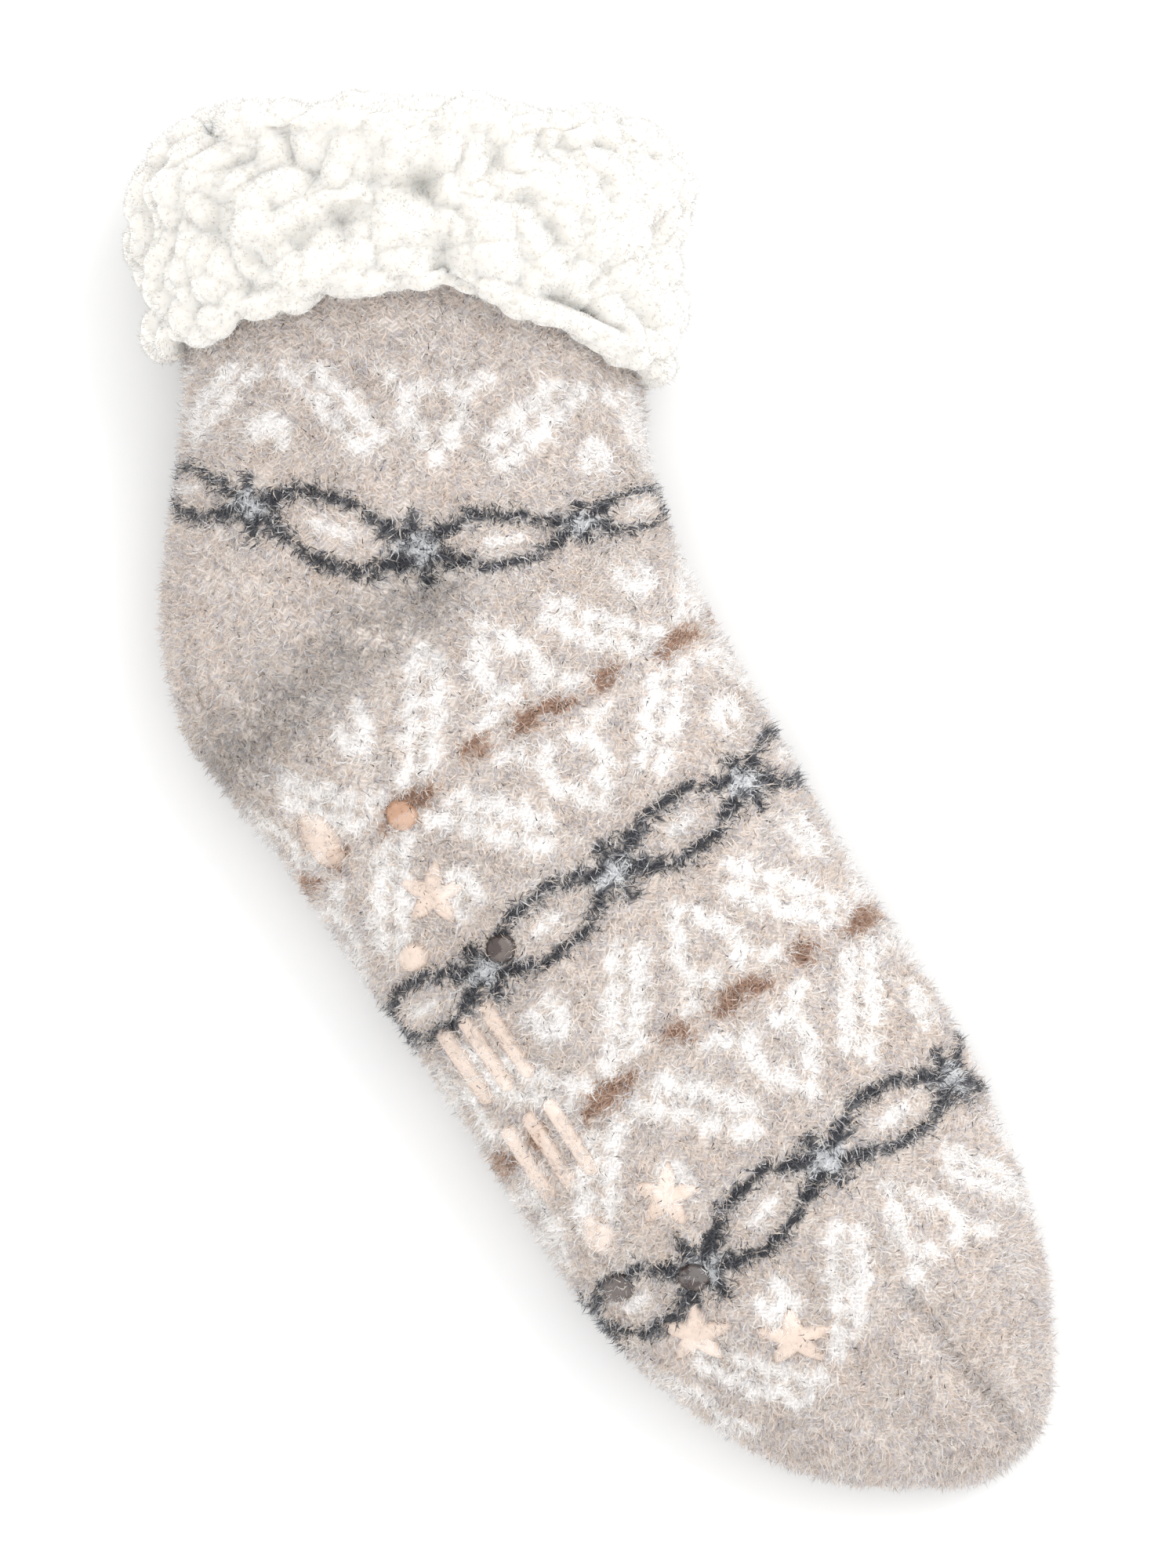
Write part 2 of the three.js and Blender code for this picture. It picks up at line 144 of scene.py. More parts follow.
@dataclass
class SockForm:
    """The flattened sock's surface, with the same sizes and sections as its solid."""

    foot_run: float = 185.5
    foot_width: float = 101.0
    heel_width: float = 110.0
    leg_width: float = 96.0
    leg_run: float = 72.0
    bend_radius: float = 108.0
    bend_angle: float = math.radians(33.4)
    crown: float = 30.0
    belly: float = 15.0
    cuff_lift: float = 10.7
    roundness: float = 2.25
    under_flattening: float = 1.2
    rest_height: float = 0.6
    tip_keep: float = 0.35
    # zone, at, sole, instep, crown, belly, lift: shares of the zone's run, half width and the sizes above
    sections: tuple[tuple[str, float, float, float, float, float, float], ...] = (
        ("foot", 1.0, 0.01, 0.03, 0.05, 0.2, 0.0),
        ("foot", 0.995, 0.06, 0.21, 0.2, 0.38, 0.0),
        ("foot", 0.981, 0.15, 0.325, 0.33, 0.45, 0.0),
        ("foot", 0.96, 0.26, 0.395, 0.44, 0.52, 0.0),
        ("foot", 0.93, 0.42, 0.48, 0.55, 0.6, 0.0),
        ("foot", 0.89, 0.575, 0.565, 0.66, 0.7, 0.0),
        ("foot", 0.835, 0.72, 0.68, 0.76, 0.8, 0.0),
        ("foot", 0.77, 0.83, 0.75, 0.84, 0.88, 0.0),
        ("foot", 0.68, 0.925, 0.835, 0.9, 0.94, 0.0),
        ("foot", 0.57, 0.985, 0.895, 0.95, 0.98, 0.0),
        ("foot", 0.45, 0.99, 0.92, 0.97, 1.0, 0.0),
        ("foot", 0.3, 0.985, 0.93, 0.99, 1.0, 0.0),
        ("foot", 0.165, 0.995, 0.965, 1.0, 1.0, 0.0),
        ("foot", 0.055, 1.005, 0.99, 1.0, 1.0, 0.0),
        ("ankle", 0.1, 0.935, 0.925, 1.0, 1.0, 0.0),
        ("ankle", 0.25, 1.0, 0.93, 1.0, 1.0, 0.0),
        ("ankle", 0.4, 1.075, 0.92, 0.99, 1.0, 0.0),
        ("ankle", 0.55, 1.07, 0.915, 0.98, 1.0, 0.0),
        ("ankle", 0.7, 1.025, 0.905, 0.97, 1.0, 0.0),
        ("ankle", 0.85, 0.965, 0.89, 0.96, 1.0, 0.0),
        ("ankle", 1.0, 0.925, 0.86, 0.95, 1.0, 0.02),
        ("leg", 0.12, 1.045, 0.96, 0.94, 1.0, 0.14),
        ("leg", 0.25, 1.03, 0.945, 0.94, 1.0, 0.48),
        ("leg", 0.39, 1.03, 0.94, 0.94, 1.0, 0.86),
        ("leg", 0.55, 1.04, 0.945, 0.95, 1.0, 1.0),
        ("leg", 0.77, 1.045, 0.955, 0.96, 1.0, 1.0),
        ("leg", 1.0, 1.03, 0.96, 0.96, 1.0, 1.0),
    )
    curves: dict[str, Curve] = field(default_factory=dict)
    shift: Vector = field(default_factory=Vector)

    def __post_init__(self) -> None:
        """Fits a smooth curve to each column of the sections and finds the sock's place in the row frame."""
        zones = {
            "foot": (0.0, self.foot_run, self.foot_width / 2),
            "ankle": (0.0, -self.bend_run, self.heel_width / 2),
            "leg": (-self.bend_run, -self.leg_run, self.leg_width / 2),
        }
        rows = []
        for zone, at, sole, instep, crown, belly, lift in self.sections:
            start, run, half = zones[zone]
            heights = (crown * self.crown, belly * self.belly, lift * self.cuff_lift)
            rows.append((start + at * run, sole * half, instep * half, *heights))
        rows.sort()
        columns = list(zip(*rows))
        for name, values in zip(("sole", "instep", "crown", "belly", "lift"), columns[1:]):
            self.curves[name] = smooth_curve(columns[0], values)
        low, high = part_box("knit_sock")
        toe = self.foot_run * MM
        lowest_y = float(self.points(np.linspace(self.collar, self.foot_run, 200)[:, None],
                                     np.linspace(0, 2 * np.pi, 180)[None, :], 0.0)[..., 1].min()) * MM
        self.shift = Vector((high.x - toe, low.y - lowest_y, 0.0))

    @property
    def bend_run(self) -> float:
        """Length of the side's middle line round the ankle."""
        return self.bend_radius * self.bend_angle

    @property
    def collar(self) -> float:
        """Place of the knit's collar edge along the middle line."""
        return -self.bend_run - self.leg_run

    def middle_line(self, along: Array) -> tuple[Array, Array, Array]:
        """The side's middle line: straight along the foot, an arc round the ankle, straight up the leg.

        Args:
            along: distance along the line, over 0 on the foot.

        Returns:
            The points and the directions towards the instep and towards the collar, each in the plane.
        """
        tilt = np.clip(-along / self.bend_radius, 0, self.bend_angle)
        to_collar = np.stack([-np.cos(tilt), np.sin(tilt)], -1)
        to_instep = np.stack([np.sin(tilt), np.cos(tilt)], -1)
        arc = np.stack([-self.bend_radius * np.sin(tilt), self.bend_radius * (1 - np.cos(tilt))], -1)
        foot = np.stack([np.maximum(along, 0), np.zeros_like(along)], -1)
        leg = np.maximum(-self.bend_run - along, 0)[..., None] * to_collar
        return arc + foot + leg, to_instep, to_collar

    def round_off(self, value: Array) -> Array:
        """Turns a sine or cosine into its share on the section's superellipse."""
        return np.sign(value) * np.abs(value) ** (2 / self.roundness)

    def shrunk(self, size: Array, offset: Array) -> Array:
        """A size moved by an offset, keeping some of it near the toe's tip."""
        return np.where(offset < 0, np.maximum(size + offset, size * self.tip_keep), size + offset)

    def points(self, along: Array, angle: Array, offset: Array | float) -> Array:
        """Points of the surface, or of one offset outwards from it, in the sock's own frame.

        Args:
            along: distance along the middle line.
            angle: 0 at the instep's fold, a quarter turn at the top, half a turn at the sole's fold.
            offset: distance out from the knit's surface.

        Returns:
            The points, in millimetres.
        """
        along, angle, offset = np.broadcast_arrays(along, angle, offset)
        size = {name: curve(along) for name, curve in self.curves.items()}
        moved = np.where(along > 0, along * (1 + np.minimum(offset, 0) / self.foot_run), along)
        middle, to_instep, _ = self.middle_line(moved)
        half = self.shrunk((size["sole"] + size["instep"]) / 2, offset)
        centre = (size["instep"] - size["sole"]) / 2
        rise = self.round_off(np.sin(angle))
        folds = size["lift"] + size["belly"]
        over = folds + self.shrunk(size["crown"], offset) * rise
        under = folds + self.shrunk(size["belly"] * self.under_flattening, offset) * rise
        floor = np.maximum(size["lift"] - offset, self.rest_height)
        flat = middle + (centre + half * self.round_off(np.cos(angle)))[..., None] * to_instep
        return np.concatenate([flat, np.where(rise >= 0, over, np.maximum(under, floor))[..., None]], -1)

    def across(self, along: Array, angle: Array) -> Array:
        """Distance from the middle line towards the instep."""
        sole, instep = self.curves["sole"](along), self.curves["instep"](along)
        return (instep - sole) / 2 + (sole + instep) / 2 * self.round_off(np.cos(angle))

    def to_row(self, points: Array) -> Array:
        """Turns points in millimetres into the row frame's metres."""
        return points * MM + np.array(self.shift)


def grid_normals(points: Array) -> Array:
    """Normals of a grid of points, one row of the grid for each ring.

    Args:
        points: rows by columns by 3, the last column on the first.

    Returns:
        A unit normal at each point, out of the surface.
    """
    down = np.gradient(points, axis=0)
    ring = points[:, :-1]
    round_it = np.roll(ring, -1, 1) - np.roll(ring, 1, 1)
    round_it = np.concatenate([round_it, round_it[:, :1]], 1)
    return unit(np.cross(round_it, down))


@dataclass
class MeshParts:
    """Corners and faces of a mesh in the row frame, with what its material reads."""

    corners: Array
    triangles: Array = field(default_factory=lambda: np.zeros((0, 3), int))
    quads: Array = field(default_factory=lambda: np.zeros((0, 4), int))
    colours: Array | None = None
    normals: Array | None = None
    stitches: Array | None = None

    def to_object(self, name: str, material: bpy.types.Material) -> bpy.types.Object:
        """Makes the Blender object.

        Args:
            name: the piece's name.
            material: its finish.

        Returns:
            The new object, linked to the scene.
        """
        mesh = bpy.data.meshes.new(name)
        loops = np.concatenate([self.quads.ravel(), self.triangles.ravel()]).astype(np.int32)
        totals = np.repeat([4, 3], [len(self.quads), len(self.triangles)]).astype(np.int32)
        starts = (np.cumsum(totals) - totals).astype(np.int32)
        mesh.vertices.add(len(self.corners))
        mesh.vertices.foreach_set("co", self.corners.astype(np.float32).ravel())
        mesh.loops.add(len(loops))
        mesh.loops.foreach_set("vertex_index", loops)
        mesh.polygons.add(len(totals))
        mesh.polygons.foreach_set("loop_start", starts)
        mesh.polygons.foreach_set("loop_total", totals)
        mesh.update(calc_edges=True)
        mesh.polygons.foreach_set("use_smooth", np.ones(len(totals), bool))
        if self.colours is not None:
            layer = mesh.color_attributes.new("yarn_colour", "FLOAT_COLOR", "POINT")
            rgba = np.concatenate([self.colours, np.ones((len(self.corners), 1))], 1)
            layer.data.foreach_set("color", rgba.astype(np.float32).ravel())
        if self.stitches is not None:
            layer = mesh.uv_layers.new(name="stitches")
            layer.data.foreach_set("uv", self.stitches[loops].astype(np.float32).ravel())
        if self.normals is not None:
            mesh.normals_split_custom_set_from_vertices(self.normals.astype(np.float32))
        mesh.materials.append(material)
        piece = bpy.data.objects.new(name, mesh)
        bpy.context.scene.collection.objects.link(piece)
        LOG.info("%s: %d triangles", name, 2 * len(self.quads) + len(self.triangles))
        return piece


def loft_faces(rings: int, around: int) -> tuple[Array, Array]:
    """Faces of a closed loft whose corners are a pole, its rings in turn and another pole.

    Args:
        rings: how many rings there are.
        around: corners in a ring.

    Returns:
        The quads between rings and the triangles at the poles.
    """
    i = np.arange(around)
    after = (i + 1) % around
    row = 1 + np.arange(rings - 1)[:, None] * around
    quads = np.stack([row + i, row + after, row + around + after, row + around + i], -1).reshape(-1, 4)
    last = 1 + (rings - 1) * around
    first_fan = np.stack([np.zeros_like(i), 1 + after, 1 + i], -1)
    last_fan = np.stack([np.full(around, last + around), last + i, last + after], -1)
    return quads, np.concatenate([first_fan, last_fan])


@dataclass
class Hairs:
    """Fine fibres as narrow strips that bend once: two corners at root and bend and one at the tip."""

    roots: Array
    outward: Array
    lean: Array
    length: Array
    width: float
    upright: float
    seed: int
    lean_share: float = 0.55
    looseness: float = 0.42
    least_rise: float = 0.12
    curl: float = 0.6
    droop: float = 0.25
    most_fall: float = 0.15
    root_depth: float = 0.25
    bend_place: float = 0.55
    spin: float = 0.55
    width_spread: tuple[float, float] = (0.7, 1.3)
    bend_width: float = 0.85

    def parts(self, root_colour: Array, tip_colour: Array) -> MeshParts:
        """Works out the strips.

        Args:
            root_colour: linear colour at each root.
            tip_colour: linear colour at each tip.

        Returns:
            The mesh parts, three triangles for each hair.
        """
        rng = np.random.default_rng(self.seed)
        count = len(self.roots)
        loose = rng.normal(0, 1, (count, 3))
        first = unit(self.outward * self.upright + self.lean * self.lean_share + loose * self.looseness)
        rise = np.sum(first * self.outward, -1, keepdims=True)
        first += self.outward * np.maximum(self.least_rise - rise, 0)
        curl = rng.normal(0, 1, (count, 3))
        second = unit(first + curl * self.curl - self.outward * self.droop)
        rise = np.sum(second * self.outward, -1, keepdims=True)
        second += self.outward * np.maximum(-self.most_fall - rise, 0)
        span = self.length[:, None]
        root = self.roots - self.outward * self.root_depth
        bend = root + first * span * self.bend_place
        tip = bend + second * span * (1 - self.bend_place)
        spin = unit(self.outward + rng.normal(0, self.spin, (count, 3)))
        side = unit(np.cross(first, spin)) * (self.width / 2) * rng.uniform(*self.width_spread, (count, 1))
        narrow = side * self.bend_width
        corners = np.stack([root + side, root - side, bend + narrow, bend - narrow, tip], 1)
        flat = np.cross(corners[:, 0] - corners[:, 1], corners[:, 2] - corners[:, 1])
        turned = np.sum(flat * self.outward, -1) < 0
        corners[turned] = corners[turned][:, [1, 0, 3, 2, 4]]
        facing = unit(np.cross(corners[:, 0] - corners[:, 1], corners[:, 2] - corners[:, 1]))
        normals = unit(self.outward * 0.75 + facing * 0.35)
        base = np.arange(count)[:, None] * 5
        middle = root_colour * 0.45 + tip_colour * 0.55
        colours = np.stack([root_colour, root_colour, middle, middle, tip_colour], 1)
        return MeshParts(
            corners=corners.reshape(-1, 3),
            quads=base + np.array([[1, 0, 2, 3]]),
            triangles=base + np.array([[3, 2, 4]]),
            colours=colours.reshape(-1, 3),
            normals=np.repeat(normals, 5, 0),
        )


def add_node(material: bpy.types.Material, kind: str, settings: dict | None = None,
             links: dict | None = None) -> bpy.types.Node:
    """Adds a node to a material's tree.

    Args:
        material: the material.
        kind: the node's Blender type.
        settings: properties of the node, and values of its inputs by name or number.
        links: what feeds each input, as an output socket, by the input's name or number.

    Returns:
        The node.
    """
    node = material.node_tree.nodes.new(kind)
    for key, value in (settings or {}).items():
        if isinstance(key, str) and hasattr(node, key):
            setattr(node, key, value)
        else:
            node.inputs[key].default_value = value
    for key, output in (links or {}).items():
        material.node_tree.links.new(output, node.inputs[key])
    return node


@dataclass(frozen=True)
class BrushedFeatherYarn:
    """Polyamide feather yarn, brushed so that soft fibres stand off the stitches.

    It looks matt, with a pale sheen at its edges. Its colours come from the knit chart, one for each fibre.
    """

    name: str = "brushed_feather_yarn"
    roughness: float = 0.9
    sheen: float = 0.35
    ply_mm: float = 0.5
    ply_relief: float = 0.35
    stitch_relief: float = 0.8
    let_through: float = 0.55

    def material(self) -> bpy.types.Material:
        """Makes the material."""
        made = new_material(self.name)
        yarn = add_node(made, "ShaderNodeAttribute", {"attribute_name": "yarn_colour"})
        place = add_node(made, "ShaderNodeTexCoord")
        fibres = add_node(made, "ShaderNodeTexNoise", {"Scale": 1 / (self.ply_mm * MM), "Detail": 2.0},
                          {"Vector": place.outputs["Object"]})
        shade = add_node(made, "ShaderNodeMapRange", {"To Min": 0.9, "To Max": 1.08},
                         {"Value": fibres.outputs["Fac"]})
        colour = add_node(made, "ShaderNodeVectorMath", {"operation": "SCALE"},
                          {0: yarn.outputs["Color"], "Scale": shade.outputs["Result"]})
        bump = add_node(made, "ShaderNodeBump", {"Strength": self.ply_relief, "Distance": 0.3 * MM},
                        {"Height": fibres.outputs["Fac"]})
        finish_material(made, {"Roughness": self.roughness, "Sheen Weight": self.sheen,
                               "Sheen Roughness": 0.6, "Specular IOR Level": 0.25},
                        {"Base Color": colour.outputs["Vector"], "Normal": bump.outputs["Normal"]},
                        self.let_through)
        return made

    def ground_material(self) -> bpy.types.Material:
        """Makes the stitches' own material, with a plied V in each stitch of the knit."""
        made = new_material(self.name + "_stitches")
        yarn = add_node(made, "ShaderNodeAttribute", {"attribute_name": "yarn_colour"})
        stitch = add_node(made, "ShaderNodeUVMap", {"uv_map": "stitches"})
        split = add_node(made, "ShaderNodeSeparateXYZ", None, {"Vector": stitch.outputs["UV"]})
        wale = add_node(made, "ShaderNodeMath", {"operation": "PINGPONG", 1: 0.5}, {0: split.outputs["X"]})
        slant = add_node(made, "ShaderNodeMath", {"operation": "ADD"},
                         {0: split.outputs["Y"], 1: wale.outputs["Value"]})
        turn = add_node(made, "ShaderNodeMath", {"operation": "MULTIPLY", 1: 2 * math.pi},
                        {0: slant.outputs["Value"]})
        loop = add_node(made, "ShaderNodeMath", {"operation": "SINE"}, {0: turn.outputs["Value"]})
        height = add_node(made, "ShaderNodeMath", {"operation": "MULTIPLY_ADD", 1: 2.0},
                          {0: wale.outputs["Value"], 2: loop.outputs["Value"]})
        bump = add_node(made, "ShaderNodeBump", {"Strength": self.stitch_relief, "Distance": 0.5 * MM},
                        {"Height": height.outputs["Value"]})
        finish_material(made, {"Roughness": self.roughness, "Sheen Weight": self.sheen,
                               "Specular IOR Level": 0.2},
                        {"Base Color": yarn.outputs["Color"], "Normal": bump.outputs["Normal"]})
        return made


@dataclass(frozen=True)
class SherpaPile:
    """Polyester sherpa: knitted pile curled into soft lumps, matt and warm where light passes through."""

    name: str = "sherpa_pile"
    colour: str = "#CDCBC8"
    # darker colour painted into the curls' hollows as shade
    hollow_shade_colour: str = "#C8C5BE"
    fibre_colour: str = "#D2D0CD"
    roughness: float = 0.95
    curl_mm: float = 2.2
    curl_relief: float = 0.25

    def fibre_material(self) -> bpy.types.Material:
        """Makes the loose fibres' own material, which lets half the light through."""
        made = new_material(self.name + "_fibres")
        white = add_node(made, "ShaderNodeRGB")
        white.outputs[0].default_value = linear_from_hex(self.fibre_colour)
        finish_material(made, {"Roughness": self.roughness, "Specular IOR Level": 0.2},
                        {"Base Color": white.outputs[0]}, 0.5)
        return made

    def material(self) -> bpy.types.Material:
        """Makes the material."""
        made = new_material(self.name)
        place = add_node(made, "ShaderNodeTexCoord")
        curls = add_node(made, "ShaderNodeTexNoise", {"Scale": 1 / (self.curl_mm * MM), "Detail": 3.0},
                         {"Vector": place.outputs["Object"]})
        # painted shade: where the curls' noise is low, as in the bump's hollows, the colour turns to the
        # darker hollow colour
        colour = add_node(made, "ShaderNodeMix", {"data_type": "RGBA"}, {0: curls.outputs["Fac"]})
        colour.inputs[6].default_value = linear_from_hex(self.hollow_shade_colour)
        colour.inputs[7].default_value = linear_from_hex(self.colour)
        bump = add_node(made, "ShaderNodeBump", {"Strength": self.curl_relief, "Distance": 0.6 * MM},
                        {"Height": curls.outputs["Fac"]})
        finish_material(made, {"Roughness": self.roughness, "Sheen Weight": 0.25, "Specular IOR Level": 0.2,
                               "Subsurface Weight": 0.8, "Subsurface Scale": 4 * MM,
                               "Subsurface Radius": (1.0, 0.85, 0.7)},
                        {"Base Color": colour.outputs[2], "Normal": bump.outputs["Normal"]})
        return made


@dataclass(frozen=True)
class PrintedSilicone:
    """Clear silicone printed on the knit: glossy and tinted, with the wetted yarn showing through it."""

    name: str = "printed_silicone"
    roughness: float = 0.22
    coat: float = 0.5
    grain_mm: float = 1.6

    def material(self, ending: str, clear: float) -> bpy.types.Material:
        """Makes the material.

        Args:
            ending: of its name.
            clear: share of the yarn beneath that shows through.

        Returns:
            The material.
        """
        made = new_material(self.name + ending)
        yarn = add_node(made, "ShaderNodeAttribute", {"attribute_name": "yarn_colour"})
        place = add_node(made, "ShaderNodeTexCoord")
        grain = add_node(made, "ShaderNodeTexNoise", {"Scale": 1 / (self.grain_mm * MM), "Detail": 3.0},
                         {"Vector": place.outputs["Object"]})
        shade = add_node(made, "ShaderNodeMapRange", {"To Min": 0.8, "To Max": 1.15},
                         {"Value": grain.outputs["Fac"]})
        colour = add_node(made, "ShaderNodeVectorMath", {"operation": "SCALE"},
                          {0: yarn.outputs["Color"], "Scale": shade.outputs["Result"]})
        bump = add_node(made, "ShaderNodeBump", {"Strength": 0.25, "Distance": 0.4 * MM},
                        {"Height": grain.outputs["Fac"]})
        finish_material(made, {"Roughness": self.roughness, "IOR": 1.41, "Coat Weight": self.coat,
                               "Coat Roughness": 0.08, "Alpha": 1 - clear},
                        {"Base Color": colour.outputs["Vector"], "Normal": bump.outputs["Normal"]})
        return made


def new_material(name: str) -> bpy.types.Material:
    """Makes an empty node material."""
    made = bpy.data.materials.new(name)
    made.use_nodes = True
    made.node_tree.nodes.clear()
    return made


def finish_material(material: bpy.types.Material, settings: dict, links: dict,
                    let_through: float = 0.0) -> None:
    """Adds the surface shader and the output.

    Args:
        material: the material.
        settings: values set on the shader's own inputs.
        links: what feeds the shader's inputs.
        let_through: share of the light that passes through, for thin fibres.
    """
    surface = add_node(material, "ShaderNodeBsdfPrincipled", settings, links).outputs["BSDF"]
    if let_through:
        behind = add_node(material, "ShaderNodeBsdfTranslucent", None, {"Color": links["Base Color"]})
        surface = add_node(material, "ShaderNodeMixShader", {0: let_through},
                           {1: surface, 2: behind.outputs["BSDF"]}).outputs["Shader"]
    add_node(material, "ShaderNodeOutputMaterial", None, {"Surface": surface})


class Yarn(IntEnum):
    """The yarns of the knit."""

    HEATHER = 0
    WHITE = 1
    CHARCOAL = 2
    BROWN = 3
    SILVER = 4


# which yarn's fibres lie over which, the highest on top
OVERLAP = np.array([0, 3, 4, 2, 1])
YARN_LETTERS = {".": Yarn.HEATHER, "W": Yarn.WHITE, "D": Yarn.CHARCOAL, "B": Yarn.BROWN, "L": Yarn.SILVER}


@dataclass(frozen=True)
class Dye:
    """A yarn's colours: its core and the fibres that stand off it, each with a share of them."""

    core: str
    fibres: tuple[tuple[str, float], ...]
    tip_lift: float


DYES = {
    Yarn.HEATHER: Dye("#D4CBC4", (("#F1E5DB", 0.47), ("#D3D2D8", 0.3), ("#FEFAF6", 0.23)), 1.05),
    Yarn.WHITE: Dye("#FAF7F5", (("#FFFEFD", 0.75), ("#FBF8F6", 0.25)), 1.0),
    Yarn.CHARCOAL: Dye("#3C3D42", (("#515257", 0.6), ("#838488", 0.4)), 1.5),
    Yarn.BROWN: Dye("#957866", (("#BF9F8B", 0.6), ("#DCC8BA", 0.4)), 1.1),
    Yarn.SILVER: Dye("#D6D7D9", (("#F8F8F8", 0.6), ("#DFE1E4", 0.4)), 1.02),
}


@dataclass
class KnitChart:
    """The sock's stitch chart, 24 wales by 36 courses: an oval chain, two lozenge bands, a brown line."""

    repeat: int = 24
    courses: int = 36
    chain: tuple[str, ...] = (
        "D...DDDDD...",
        "D.DD.....DD.",
        "LDD.......DD",
        "LL...WWW...L",
        "LDD.......DD",
        "D.DD.....DD.",
        "D...DDDDD...",
    )
    brown: tuple[str, ...] = (
        "BB....BB...BBB...BB....B",
        "BBB....B..BB.BB..B....BB",
        "........................",
    )
    # white stitches of a band's courses from the chain to the brown, counted both ways from its middle wale
    lozenges: tuple[tuple[int, ...], ...] = (
        (0, 5, 11),
        (0, 5, 6, 11),
        (1, 4, 6, 11, 12),
        (1, 4, 5, 7, 11, 12),
        (1, 2, 5, 7, 8, 12),
        (2, 5, 6, 8),
        (2, 6, 8, 9),
        (2, 6, 7, 9),
        (1, 2, 7, 8, 10),
        (1, 3, 8, 10, 11),
        (3, 4, 8, 9, 11),
    )
    chain_wale: float = 22.5
    lozenge_wale: float = 24.0
    first_course: float = -16.5
    last_course: float = 88.5
    grid: Array = field(default_factory=lambda: np.zeros((0, 0), int))

    def __post_init__(self) -> None:
        """Lays the chart out as a grid of yarns, from the chain's first course."""
        plain = [Yarn.HEATHER] * self.repeat
        lozenge_rows = []
        wales = range(self.repeat)
        for whites in self.lozenges:
            row = [Yarn.WHITE if abs(self.repeat // 2 - i) in whites else Yarn.HEATHER for i in wales]
            lozenge_rows.append(row)
        shifted = int(self.lozenge_wale - self.chain_wale + 0.5)
        chain_rows = [[YARN_LETTERS[row[(i + shifted) % len(row)]] for i in wales] for row in self.chain]
        brown_rows = [[YARN_LETTERS[letter] for letter in row] for row in self.brown]
        rows = chain_rows + [plain] * 2 + lozenge_rows + brown_rows + lozenge_rows[::-1] + [plain] * 2
        self.grid = np.array(rows, int)

    def yarns(self, wale: Array, course: Array) -> Array:
        """The yarn at places of the knit.

        Args:
            wale: column, counted round the sock from the sole.
            course: row, counted down from the middle of the first chain.

        Returns:
            The yarn of each place.
        """
        row = np.floor(course + len(self.chain) / 2).astype(int) % self.courses
        column = np.floor(wale - self.lozenge_wale + self.repeat / 2 + 0.5).astype(int) % self.repeat
        found = self.grid[row, column]
        worked = (course >= self.first_course) & (course < self.last_course)
        pocket = (course >= KnitLayout.pocket_start) & (course < KnitLayout.pocket_end)
        return np.where(worked & ~pocket, found, Yarn.HEATHER)


